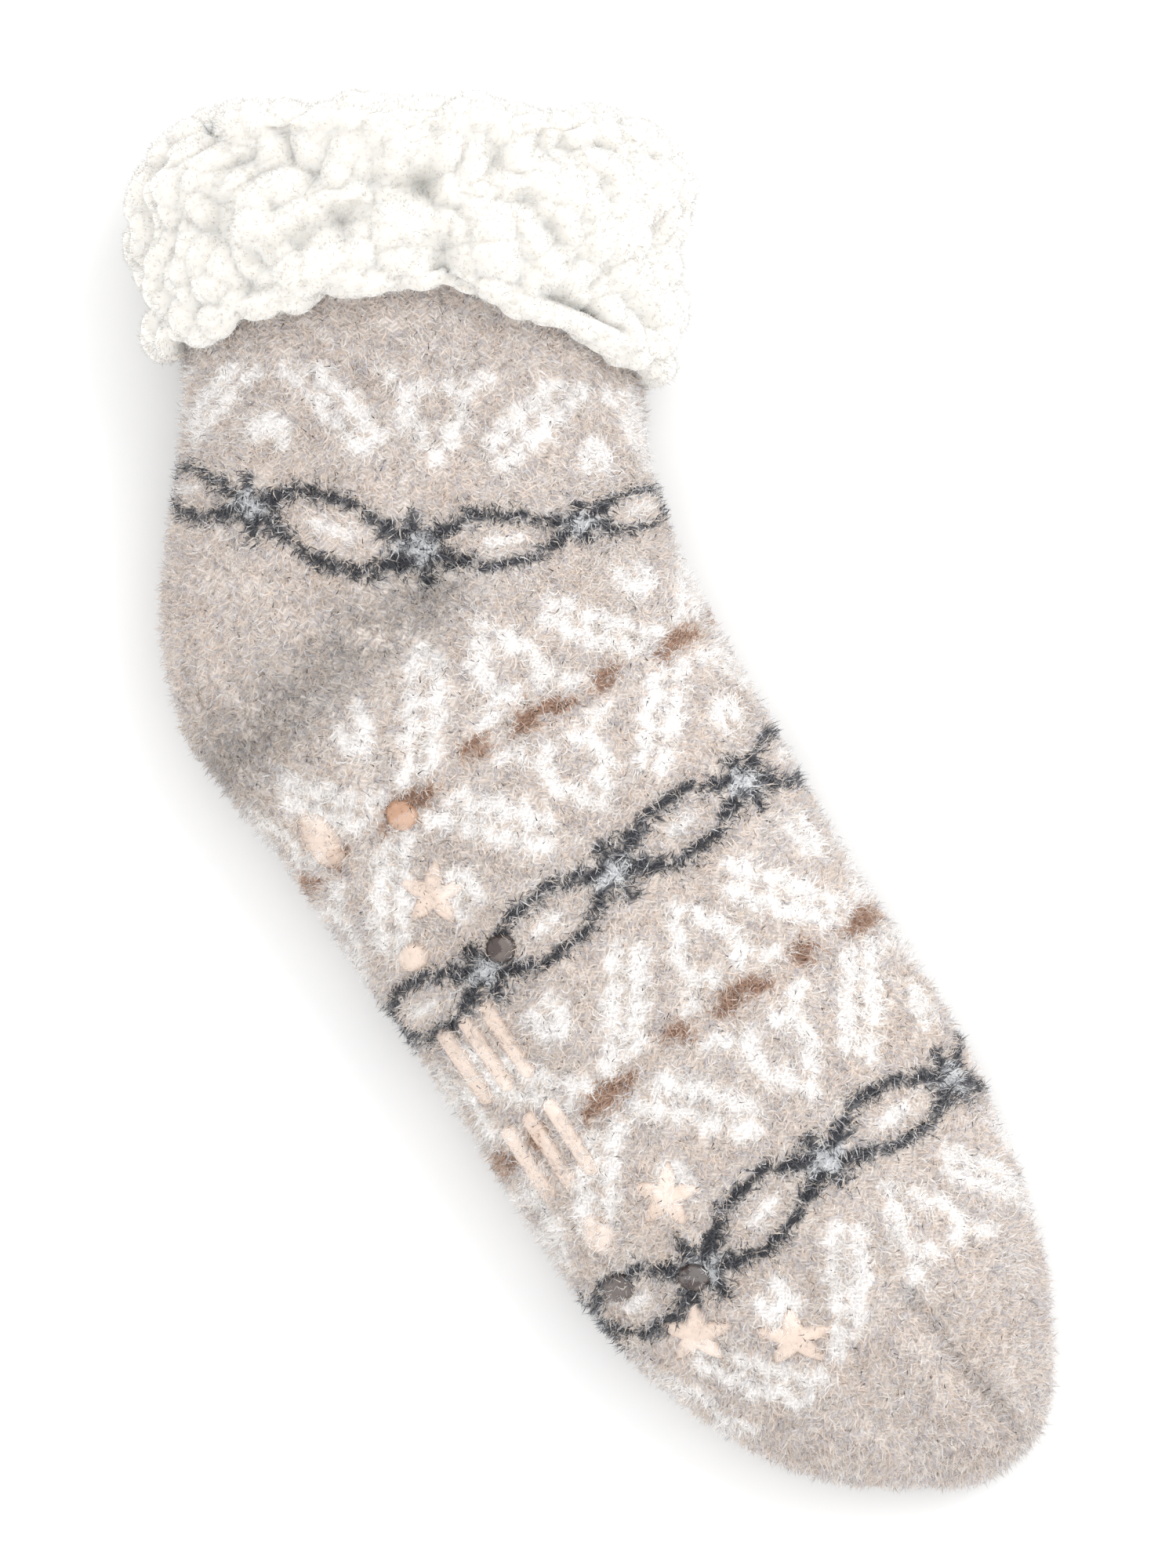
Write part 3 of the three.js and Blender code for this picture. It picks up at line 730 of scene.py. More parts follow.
@dataclass
class KnitLayout:
    """Where the wales and courses of the knit lie on the sock's surface."""

    wales: int = 96
    wale_pitch: float = 2.93
    course_pitch: float = 2.08
    middle_wale: float = 24.0
    pocket_start: float = 3.5
    pocket_end: float = 3.6
    plain_after_pocket: float = 1.4
    # course, then its place along the middle line at the sole's or back's fold, at a quarter, half and three
    # quarters of the way across and at the instep's fold; the heel's pocket of plain short rows lies between
    # 3.5 and 3.6
    course_lines: tuple[tuple[float, float, float, float, float, float], ...] = (
        (-40.0, -135.0, -135.0, -135.0, -135.0, -135.0),
        (-16.5, -84.5, -84.5, -84.0, -82.0, -80.0),
        (-5.5, -68.0, -67.0, -63.5, -61.5, -61.0),
        (-3.5, -64.0, -60.6, -53.5, -51.2, -56.4),
        (0.0, -60.6, -54.7, -46.0, -44.5, -48.5),
        (3.5, -57.0, -48.8, -38.0, -37.8, -40.6),
        (3.6, -21.0, -25.7, -37.9, -37.7, -40.5),
        (5.5, -13.5, -18.0, -29.0, -28.3, -30.0),
        (18.0, 1.8, -1.0, -2.5, 0.5, 2.5),
        (36.0, 36.0, 37.0, 34.5, 33.2, 33.0),
        (54.0, 73.5, 73.8, 71.0, 71.5, 72.5),
        (72.0, 112.0, 115.0, 110.0, 109.0, 110.5),
        (88.5, 150.0, 151.0, 142.5, 142.0, 143.0),
        (110.0, 186.0, 186.0, 186.0, 186.0, 186.0),
    )
    # place along the middle line, then how far the middle wale lies from it towards the instep
    middle_wale_line: tuple[tuple[float, float], ...] = (
        (-135.0, 3.0), (-71.0, 3.0), (-46.0, 4.4), (-22.0, 8.4), (0.0, 10.5), (34.0, 10.9), (57.0, 12.0),
        (71.0, 13.5), (109.0, 14.4), (133.0, 19.0), (186.0, 24.0),
    )

    def in_pocket(self, course: Array) -> Array:
        """Whether places lie in the heel's pocket of plain short rows, or in the plain rows after it."""
        return (course > self.pocket_start) & (course < self.pocket_end + self.plain_after_pocket)

    def places(self, form: SockForm, along: Array, angle: Array, surface: Array) -> tuple[Array, Array]:
        """The wale and course at each point of a grid over the surface.

        Args:
            form: the sock's form.
            along: each ring's place along the middle line.
            angle: each column's angle, from 0 to a whole turn.
            surface: the grid's points, rings by columns.

        Returns:
            The wales and the courses.
        """
        along_grid, angle_grid = np.meshgrid(along, angle, indexing="ij")
        across = form.across(along_grid, angle_grid)
        sole, instep = form.curves["sole"](along_grid), form.curves["instep"](along_grid)
        share = np.clip((across + sole) / np.maximum(sole + instep, 1e-6), 0, 1) * 4
        column = np.clip(share.astype(int), 0, 3)
        part = share - column
        table = np.array(self.course_lines)
        lines = table[:, 1:][:, column] * (1 - part) + table[:, 1:][:, column + 1] * part
        below = np.clip((along_grid[None] >= lines).sum(0) - 1, 0, len(table) - 2)
        low = np.take_along_axis(lines, below[None], 0)[0]
        high = np.take_along_axis(lines, below[None] + 1, 0)[0]
        step = np.clip((along_grid - low) / np.maximum(high - low, 1e-6), 0, 1)
        course = table[below, 0] * (1 - step) + table[below + 1, 0] * step
        length = np.linalg.norm(np.diff(surface, axis=1), axis=-1)
        arc = np.concatenate([np.zeros((len(along), 1)), np.cumsum(length, 1)], 1)
        half_way = len(angle) // 2
        line_at, line_across = zip(*self.middle_wale_line)
        wanted = smooth_curve(list(line_at), list(line_across))(along)
        middle = np.array([np.interp(-wanted[i], -across[i, :half_way + 1], arc[i, :half_way + 1])
                           for i in range(len(along))])[:, None]
        upper = self.middle_wale - (arc - middle) / self.wale_pitch
        at_sole, at_instep = upper[:, half_way:half_way + 1], upper[:, :1]
        run = (arc - arc[:, half_way:half_way + 1]) / (arc[:, -1:] - arc[:, half_way:half_way + 1])
        lower = at_sole - (self.wales - (at_instep - at_sole)) * run
        return np.where(np.arange(len(angle))[None] <= half_way, upper, lower), course


@dataclass
class Crease:
    """A soft trough or ridge along a line in the sock's own frame, with painted shade darkening the fibres
    along it.
    """

    line: list[tuple[float, float]]
    depth: float
    reach: float
    painted_shade: float = 0.0

    def shade(self, points: Array) -> Array:
        """Share of their colour that fibres at 2-D points keep under the crease's painted shade."""
        return 1 - self.painted_shade * np.exp(-((distance_to_line(points, self.line) / (1.4 * self.reach)) ** 2))

    def relief(self, points: Array) -> Array:
        """Height that the crease adds at 2-D points."""
        return -self.depth * np.exp(-((distance_to_line(points, self.line) / self.reach) ** 2))


@dataclass
class KnitSock:
    """The knitted sock: its stitches as one hollow shell, and the fibres that stand off them."""

    form: SockForm
    layout: KnitLayout
    chart: KnitChart
    yarn: BrushedFeatherYarn
    around: int = 200
    ring_step: float = 1.15
    wall: float = 2.4
    upper_fibres: int = 150000
    lower_fibres: int = 36000
    fibre_length: tuple[float, float] = (2.1, 4.3)
    fibre_width: float = 0.27
    fibre_upright: float = 0.62
    toe_zone: float = 8.0
    toe_rings: int = 16
    tip_gap: float = 0.02
    # distances from the toe's tip between which its surface stops being uneven
    steady_toe: tuple[float, float] = (12.0, 2.0)
    # across and height of the limp knit's unevenness
    unevenness: tuple[tuple[float, float], ...] = ((17.0, 0.35), (6.0, 0.2))
    # sine of the angle that parts the upper side's fibres from the lower side's
    side_split: float = -0.12
    hidden_by_cuff: float = 27.0
    # piece of fuzz, then the places along the middle line between which it lies
    fuzz_zones: tuple[tuple[str, float, float], ...] = (
        ("toe", 95.0, 999.0),
        ("ball", 25.0, 95.0),
        ("heel", -40.0, 25.0),
        ("ankle", -999.0, -40.0),
    )
    # line, depth, reach and the painted shade that darkens the fibres' colours along the heel's and the
    # toe's gore lines
    creases: tuple[Crease, ...] = (
        Crease([(-36.4, 4.0), (-33.2, -29.0), (-31.0, -48.5)], 1.7, 6.5, 0.3),
        Crease([(-52.0, 4.0), (-62.0, -30.0)], -1.2, 9.0),
        Crease([(142.0, 8.0), (160.0, 8.5), (182.0, 11.0)], 1.3, 2.0, 0.1),
        Crease([(142.0, 1.0), (160.0, 2.5), (172.0, 3.5)], -0.8, 5.0),
    )
    along: Array = field(default_factory=lambda: np.zeros(0))
    angle: Array = field(default_factory=lambda: np.zeros(0))
    surface: Array = field(default_factory=lambda: np.zeros((0, 0, 3)))
    normals: Array = field(default_factory=lambda: np.zeros((0, 0, 3)))
    wale: Array = field(default_factory=lambda: np.zeros((0, 0)))
    course: Array = field(default_factory=lambda: np.zeros((0, 0)))

    def lay_out(self) -> None:
        """Works out the surface with its creases, and where the stitches lie on it."""
        body = np.arange(self.form.collar, self.form.foot_run - self.toe_zone, self.ring_step)
        to_tip = np.linspace(0, 1, self.toe_rings + 1)[1:] ** 0.5
        tip = self.form.foot_run - self.toe_zone * (1 - to_tip) - self.tip_gap
        self.along = np.concatenate([body, tip])
        self.angle = np.linspace(0, 2 * np.pi, self.around + 1)
        smooth = self.form.points(self.along[:, None], self.angle[None, :], 0.0)
        out = grid_normals(smooth)
        relief = sum(crease.relief(smooth[..., :2]) for crease in self.creases)
        for seed, (size, height) in enumerate(self.unevenness, 5):
            relief = relief + height * value_noise(smooth[..., :2] / size, seed)
        steady_from, steady_to = self.steady_toe
        steady = 1 - smoothstep(self.form.foot_run - steady_from, self.form.foot_run - steady_to, self.along)
        self.surface = smooth + out * (relief * steady[:, None])[..., None]
        self.surface[..., 2] = np.maximum(self.surface[..., 2], self.form.rest_height)
        self.normals = grid_normals(self.surface)
        self.wale, self.course = self.layout.places(self.form, self.along, self.angle, smooth)

    def core_colours(self, yarns: Array) -> Array:
        """Linear colour of each stitch's core."""
        table = np.array([linear_from_hex(DYES[yarn].core)[:3] for yarn in Yarn])
        return table[yarns]

    def build_shell(self) -> bpy.types.Object:
        """Makes the stitches: the inner face from toe to collar, then the outer face back to the toe."""
        inner_along = np.linspace(self.form.foot_run - 0.5, self.form.collar, 16)
        inner = self.form.points(inner_along[:, None], self.angle[None, :-1], -self.wall)
        rings = np.concatenate([inner, self.surface[:, :-1]])
        poles = [self.form.points(np.array([self.form.foot_run]), np.array([0.0]), offset)[0]
                 for offset in (-self.wall, 0.0)]
        corners = np.concatenate([[inner[0].mean(0)], rings.reshape(-1, 3), [self.surface[-1, :-1].mean(0)]])
        corners[0, 0] = poles[0][0]
        corners[-1, 0] = poles[1][0] + 0.1
        yarns = self.chart.yarns(self.wale[:, :-1], self.course[:, :-1])
        outer_colours = self.core_colours(yarns).reshape(-1, 3)
        plain = self.core_colours(np.zeros(inner.shape[0] * self.around + 1, int))
        colours = np.concatenate([plain, outer_colours, plain[:1]])
        count = self.along[:, None] / self.layout.course_pitch + np.zeros((1, self.around))
        stitch = np.stack([self.wale[:, :-1], count], -1).reshape(-1, 2)
        stitches = np.concatenate([np.zeros((len(plain), 2)), stitch, np.zeros((1, 2))])
        quads, triangles = loft_faces(len(rings), self.around)
        parts = MeshParts(self.form.to_row(corners), triangles, quads, colours, None, stitches)
        return parts.to_object("knit_stitches", self.yarn.ground_material())

    def scatter(self, count: int, upper: bool, seed: int) -> dict[str, Array]:
        """Picks fibre roots over one side of the sock, evenly by area.

        Args:
            count: how many roots.
            upper: whether they lie on the upper side or the lower one.
            seed: of the random draw.

        Returns:
            The roots' points, normals, directions down the foot, wales, courses and places along the sock.
        """
        rng = np.random.default_rng(seed)
        p = self.surface
        area = np.linalg.norm(np.cross(p[1:, :-1] - p[:-1, :-1], p[:-1, 1:] - p[:-1, :-1]), axis=-1)
        middle = (self.angle[:-1] + self.angle[1:]) / 2
        above = np.sin(middle) > self.side_split
        chosen_side = above if upper else ~above
        in_sight = self.along[:-1] > self.form.collar + self.hidden_by_cuff
        area = area * chosen_side[None] * in_sight[:, None]
        chance = (area / area.sum()).ravel()
        cell = rng.choice(len(chance), count, p=chance)
        i, j = np.divmod(cell, self.around)
        u, v = rng.uniform(0, 1, (2, count))

        def between(grid: Array) -> Array:
            """Reads a grid at the roots."""
            a, b = (u, v) if grid.ndim == 2 else (u[:, None], v[:, None])
            near = grid[i, j] * (1 - b) + grid[i, j + 1] * b
            far = grid[i + 1, j] * (1 - b) + grid[i + 1, j + 1] * b
            return near * (1 - a) + far * a

        down = unit(self.surface[i + 1, j] - self.surface[i, j])
        return {"points": between(self.surface), "normals": unit(between(self.normals)), "down": down,
                "wale": between(self.wale), "course": between(self.course), "along": self.along[i]}

    def fibre_colours(self, yarns: Array, wale: Array, course: Array, seed: int) -> tuple[Array, Array]:
        """Colours of fibres at their roots and tips.

        Args:
            yarns: the yarn that each one grows from.
            wale: its wale.
            course: its course.
            seed: of the random draw.

        Returns:
            The linear colours of the roots and of the tips.
        """
        rng = np.random.default_rng(seed)
        draw = rng.uniform(0, 1, len(yarns))
        draw = np.clip(draw + 0.22 * value_noise(np.stack([wale / 3.1, course / 1.4], -1), 11), 0, 0.999)
        root, tip = np.zeros((len(yarns), 3)), np.zeros((len(yarns), 3))
        for yarn in Yarn:
            dye = DYES[yarn]
            core = np.array(linear_from_hex(dye.core)[:3])
            edges = np.cumsum([share for _, share in dye.fibres])
            fibres = np.array([linear_from_hex(colour)[:3] for colour, _ in dye.fibres])
            mine = yarns == yarn
            kind = np.clip(np.searchsorted(edges, draw[mine]), 0, len(fibres) - 1)
            root[mine] = core * 0.45 + fibres[kind] * 0.55
            tip[mine] = np.clip(fibres[kind] * dye.tip_lift, 0, 0.95)
        shade = rng.uniform(0.9, 1.06, (len(yarns), 1))
        return root * shade, np.clip(tip * shade, 0, 0.97)

    def build_fibres(self, name: str, roots: dict[str, Array], seed: int, material: bpy.types.Material,
                     length_scale: float = 1.0) -> bpy.types.Object:
        """Makes one piece of the fuzz.

        Args:
            name: the piece's name.
            roots: what scatter gives.
            seed: of the random draws.
            material: its finish.
            length_scale: how long its fibres are beside the others.

        Returns:
            The piece.
        """
        rng = np.random.default_rng(seed)
        count = len(roots["points"])
        wale = roots["wale"] + rng.normal(0, 0.12, count)
        course = roots["course"] + rng.normal(0, 0.14, count)
        beside = self.chart.yarns(wale + rng.normal(0, 0.3, count), course + rng.normal(0, 0.34, count))
        yarns = self.chart.yarns(wale, course)
        yarns = np.where(OVERLAP[beside] > OVERLAP[yarns], beside, yarns)
        yarns[self.layout.in_pocket(roots["course"])] = Yarn.HEATHER
        root_colour, tip_colour = self.fibre_colours(yarns, wale, course, seed + 1)
        # painted shade: fibres along the creases get darker colours, standing in for the shade in the
        # troughs
        painted_shade = np.ones(count)
        for crease in self.creases:
            painted_shade *= crease.shade(roots["points"][:, :2])
        root_colour, tip_colour = root_colour * painted_shade[:, None], tip_colour * painted_shade[:, None]
        swirl = np.pi * value_noise(roots["points"][:, :2] / 9, 21) + rng.normal(0, 0.9, count)
        side = np.cross(roots["normals"], roots["down"])
        lean = roots["down"] * np.cos(swirl)[:, None] + side * np.sin(swirl)[:, None]
        length = rng.uniform(*self.fibre_length, count) * length_scale
        hairs = Hairs(roots["points"], roots["normals"], lean, length, self.fibre_width, self.fibre_upright,
                      seed + 2)
        parts = hairs.parts(root_colour, tip_colour)
        parts.corners[:, 2] = np.maximum(parts.corners[:, 2], 0.05)
        parts.corners = self.form.to_row(parts.corners)
        return parts.to_object(name, material)

    def build(self) -> list[bpy.types.Object]:
        """Builds the shell and the fuzz, in pieces from the toe to the leg, and hides the knit's solid."""
        self.lay_out()
        fuzz = self.yarn.material()
        shell = self.build_shell()
        pieces = [shell]
        roots = self.scatter(self.upper_fibres, True, 31)
        for number, (zone, low, high) in enumerate(self.fuzz_zones):
            inside = (roots["along"] >= low) & (roots["along"] < high)
            part = {key: value[inside] for key, value in roots.items()}
            pieces.append(self.build_fibres(f"knit_fuzz_{zone}", part, 100 + 10 * number, fuzz))
        under = self.scatter(self.lower_fibres, False, 32)
        pieces.append(self.build_fibres("knit_fuzz_underside", under, 160, fuzz, 1.15))
        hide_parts("knit_sock")
        for piece in pieces:
            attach(piece, "root")
        return pieces


@dataclass
class SherpaLining:
    """The sherpa liner inside the knit, turned down over the collar as a lumpy cuff."""

    form: SockForm
    pile: SherpaPile
    around: int = 360
    knit_wall: float = 2.4
    fit_gap: float = 0.3
    lining_wall: float = 5.0
    cuff_gap: float = 1.2
    cuff_pile: float = 9.5
    cuff_drop: float = 53.0
    cuff_arch: float = 1.4
    reach_back: float = 0.9
    reach_middle: float = 0.64
    reach_front: float = 1.0
    roll_rise: float = 5.0
    ring_step: float = 0.85
    # across and height of the pile's lobes, curls and the strands in a curl
    lumps: tuple[tuple[float, float], ...] = ((15.0, 4.6), (7.0, 3.3))
    corner_roundness: float = 3.2
    middle_of_cuff: tuple[float, float] = (-115.0, -3.0)
    half_of_cuff: tuple[float, float] = (26.0, 61.0)
    fuzz_count: int = 45000
    # how far down inside the collar the pile is modelled
    shown_depth: float = 40.0
    # lines in the leg's own frame: along the middle line, and across towards the front
    creases: tuple[Crease, ...] = (
        Crease([(-141.0, 4.0), (-121.0, 1.2), (-111.0, 3.7), (-102.0, 6.5)], 2.8, 3.6),
        Crease([(-106.0, -36.0), (-113.7, -18.0), (-121.0, 0.0)], 3.0, 3.0),
        Crease([(-99.5, -30.0), (-106.0, -14.0), (-112.0, -3.0)], -2.2, 4.0),
        Crease([(-118.0, 22.8), (-105.5, 32.0)], 3.4, 2.4),
        Crease([(-98.2, 27.5), (-90.0, 45.7)], 3.4, 2.2),
        Crease([(-108.0, 12.0), (-118.0, 11.0)], -2.0, 5.0),
        Crease([(-126.0, -44.0), (-104.0, -46.0)], 2.0, 3.0),
        Crease([(-130.0, -22.0), (-122.0, -26.0)], 1.6, 3.0),
        Crease([(-131.0, 30.0), (-118.0, 44.0)], 1.8, 3.0),
    )

    def reach(self, angle: Array) -> Array:
        """How far down the cuff reaches at an angle."""
        across = self.form.round_off(np.cos(angle))
        edge = np.where(across > 0, self.reach_front, self.reach_back)
        share = self.reach_middle + (edge - self.reach_middle) * np.abs(across) ** self.cuff_arch
        return share * self.cuff_drop

    def above_collar(self, angle: Array, offset: Array | float, rise: float) -> Array:
        """Points over the collar edge."""
        at_collar = np.full_like(angle, self.form.collar)
        _, _, to_collar = self.form.middle_line(at_collar)
        lifted = np.concatenate([to_collar * rise, np.zeros((len(angle), 1))], 1)
        return self.form.points(at_collar, angle, offset) + lifted

    def rings(self) -> tuple[Array, Array]:
        """The lining's rings from its toe, up the inside, over the roll, down the cuff and back to the toe.

        Returns:
            The rings' points and how lumpy each ring is.
        """
        angle = np.arange(self.around) * 2 * np.pi / self.around
        outside = -(self.knit_wall + self.fit_gap)
        inside = outside - self.lining_wall
        face = self.cuff_gap + self.cuff_pile
        rings, lumps = [], []

        def add(ring: Array, lumpiness: float) -> None:
            """Keeps a ring and its lumpiness."""
            rings.append(ring)
            lumps.append(lumpiness)

        shown = self.form.collar + self.shown_depth
        deep = np.linspace(self.form.foot_run - 2, shown, 22)
        near = np.arange(shown - 1, self.form.collar, -1.6)
        for along in np.concatenate([deep, near]):
            add(self.form.points(np.full_like(angle, along), angle, inside), 0.7 if along < shown else 0.0)
        middle, radius = (inside + face) / 2, (face - inside) / 2
        for share in np.linspace(0, 1, 24):
            turn = share * np.pi
            rise = self.fit_gap + self.roll_rise * math.sin(turn)
            add(self.above_collar(angle, middle - radius * math.cos(turn), rise), 0.85)
        for share in np.arange(0.03, 0.93, self.ring_step / self.cuff_drop):
            add(self.form.points(self.form.collar + share * self.reach(angle), angle, face), 1.0)
        for turn in np.linspace(0.1, 0.9, 9) * np.pi:
            share = 0.93 + 0.085 * math.sin(turn)
            offset = self.cuff_gap + self.cuff_pile * (0.5 + 0.5 * math.cos(turn))
            add(self.form.points(self.form.collar + share * self.reach(angle), angle, offset), 0.8)
        for share in (0.9, 0.76, 0.6, 0.4, 0.2):
            add(self.form.points(self.form.collar + share * self.reach(angle), angle, self.cuff_gap), 0.0)
        for offset in (self.cuff_gap, outside):
            add(self.above_collar(angle, offset, self.fit_gap), 0.0)
        for along in np.linspace(self.form.collar + 6, self.form.foot_run - 2, 20):
            add(self.form.points(np.full_like(angle, along), angle, outside), 0.0)
        return np.array(rings), np.array(lumps)

    def lump_relief(self, points: Array) -> Array:
        """Height of the pile's lumps and curls: rounded domes that meet in creases."""
        total = np.zeros(len(points))
        for number, (size, height) in enumerate(self.lumps):
            rng = np.random.default_rng(71 + number)
            low, high = points.min(0) - size, points.max(0) + size
            sides = [np.arange(a, b, size) for a, b in zip(low, high)]
            cells = np.stack(np.meshgrid(*sides, indexing="ij"), -1)
            seeds = cells.reshape(-1, 3) + rng.uniform(0, size, (cells.size // 3, 3))
            tree = KDTree(len(seeds))
            for i, point in enumerate(seeds):
                tree.insert(point, i)
            tree.balance()
            nearest = np.array([tree.find(point)[2] for point in points])
            dome = np.clip(1 - (nearest / (0.85 * size)) ** 2, 0, 1)
            total += height * (dome - 0.62)
        return total

    def corner_pull(self, leg_frame: Array) -> Array:
        """How far points move in the leg's frame so that the limp cuff has rounded corners at the top."""
        share = (leg_frame - np.array(self.middle_of_cuff)) / np.array(self.half_of_cuff)
        square = (np.abs(share) ** 10).sum(-1) ** 0.1
        power = self.corner_roundness
        round_one = np.maximum((np.abs(share) ** power).sum(-1) ** (1 / power), 1e-6)
        upward = smoothstep(-0.1, 0.6, -share[..., 0])
        pull = (square / round_one - 1) * (0.25 + 0.75 * upward)
        return share * pull[..., None] * np.array(self.half_of_cuff)

    def build(self) -> list[bpy.types.Object]:
        """Builds the lining and its fuzz and hides the lining's solid."""
        rings, lumps = self.rings()
        closed = np.concatenate([rings, rings[:, :1]], 1)
        out = grid_normals(closed)[:, :-1]
        lumpy = lumps > 0
        flat = rings[lumpy].reshape(-1, 3)
        relief = self.lump_relief(flat).reshape(-1, self.around)
        at_collar = self.form.middle_line(np.array([self.form.collar]))
        leg_start, to_instep, to_collar = (value[0] for value in at_collar)
        offset = rings[lumpy][..., :2] - leg_start
        leg_frame = np.stack([self.form.collar - offset @ to_collar, offset @ to_instep], -1)
        pull = self.corner_pull(leg_frame)
        rings[lumpy] += np.concatenate([pull[..., 1:] * to_instep - pull[..., :1] * to_collar,
                                        np.zeros((*pull.shape[:-1], 1))], -1)
        upper = np.clip(out[lumpy][..., 2] * 2, 0, 1)
        creases = sum(crease.relief(leg_frame) for crease in self.creases) * upper
        rings[lumpy] += out[lumpy] * (relief * lumps[lumpy][:, None] + creases)[..., None]
        rings[..., 2] = np.maximum(rings[..., 2], 0.15)
        corners = np.concatenate([[rings[0].mean(0)], rings.reshape(-1, 3), [rings[-1].mean(0)]])
        quads, triangles = loft_faces(len(rings), self.around)
        lining = MeshParts(self.form.to_row(corners), triangles, quads).to_object("sherpa_lining_cuff",
                                                                                  self.pile.material())
        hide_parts("sherpa_lining")
        pieces = [lining, self.build_fuzz(rings, lumpy, self.pile.fibre_material())]
        for piece in pieces:
            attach(piece, "root")
        return pieces

    def build_fuzz(self, rings: Array, lumpy: Array, material: bpy.types.Material) -> bpy.types.Object:
        """Makes the short soft fibres over the pile's lumps.

        Args:
            rings: the lining's rings.
            lumpy: which of them carry pile that shows.
            material: the pile's finish.

        Returns:
            The piece.
        """
        rng = np.random.default_rng(75)
        shown = np.concatenate([rings[lumpy], rings[lumpy][:, :1]], 1)
        out = grid_normals(shown)
        down, round_it = shown[1:, :-1] - shown[:-1, :-1], shown[:-1, 1:] - shown[:-1, :-1]
        area = np.linalg.norm(np.cross(down, round_it), axis=-1)
        chance = (area / area.sum()).ravel()
        i, j = np.divmod(rng.choice(len(chance), self.fuzz_count, p=chance), self.around)
        u, v = rng.uniform(0, 1, (2, self.fuzz_count, 1))
        roots = (shown[i, j] * (1 - v) + shown[i, j + 1] * v) * (1 - u)
        roots += (shown[i + 1, j] * (1 - v) + shown[i + 1, j + 1] * v) * u
        length = rng.uniform(0.9, 1.9, self.fuzz_count)
        hairs = Hairs(roots, out[i, j], unit(rng.normal(0, 1, (self.fuzz_count, 3))), length, 0.2, 0.8, 76)
        parts = hairs.parts(np.ones((self.fuzz_count, 3)), np.ones((self.fuzz_count, 3)))
        parts.colours = parts.normals = None
        parts.corners[:, 2] = np.maximum(parts.corners[:, 2], 0.05)
        parts.corners = self.form.to_row(parts.corners)
        return parts.to_object("sherpa_fuzz", material)


class GripForm(IntEnum):
    """Outlines of the printed grips."""

    STAR = 0
    DOT = 1
    OVAL = 2
    BAR = 3


class Tint(IntEnum):
    """How much a grip hides the yarn beneath it."""

    PALE = 0
    TAN = 1
    DARK = 2


# ending of a tint's material and the share of the yarn that shows through it
CLEARNESS = {Tint.PALE: ("_clear", 0.35), Tint.TAN: ("_tan", 0.2), Tint.DARK: ("_dark", 0.04)}


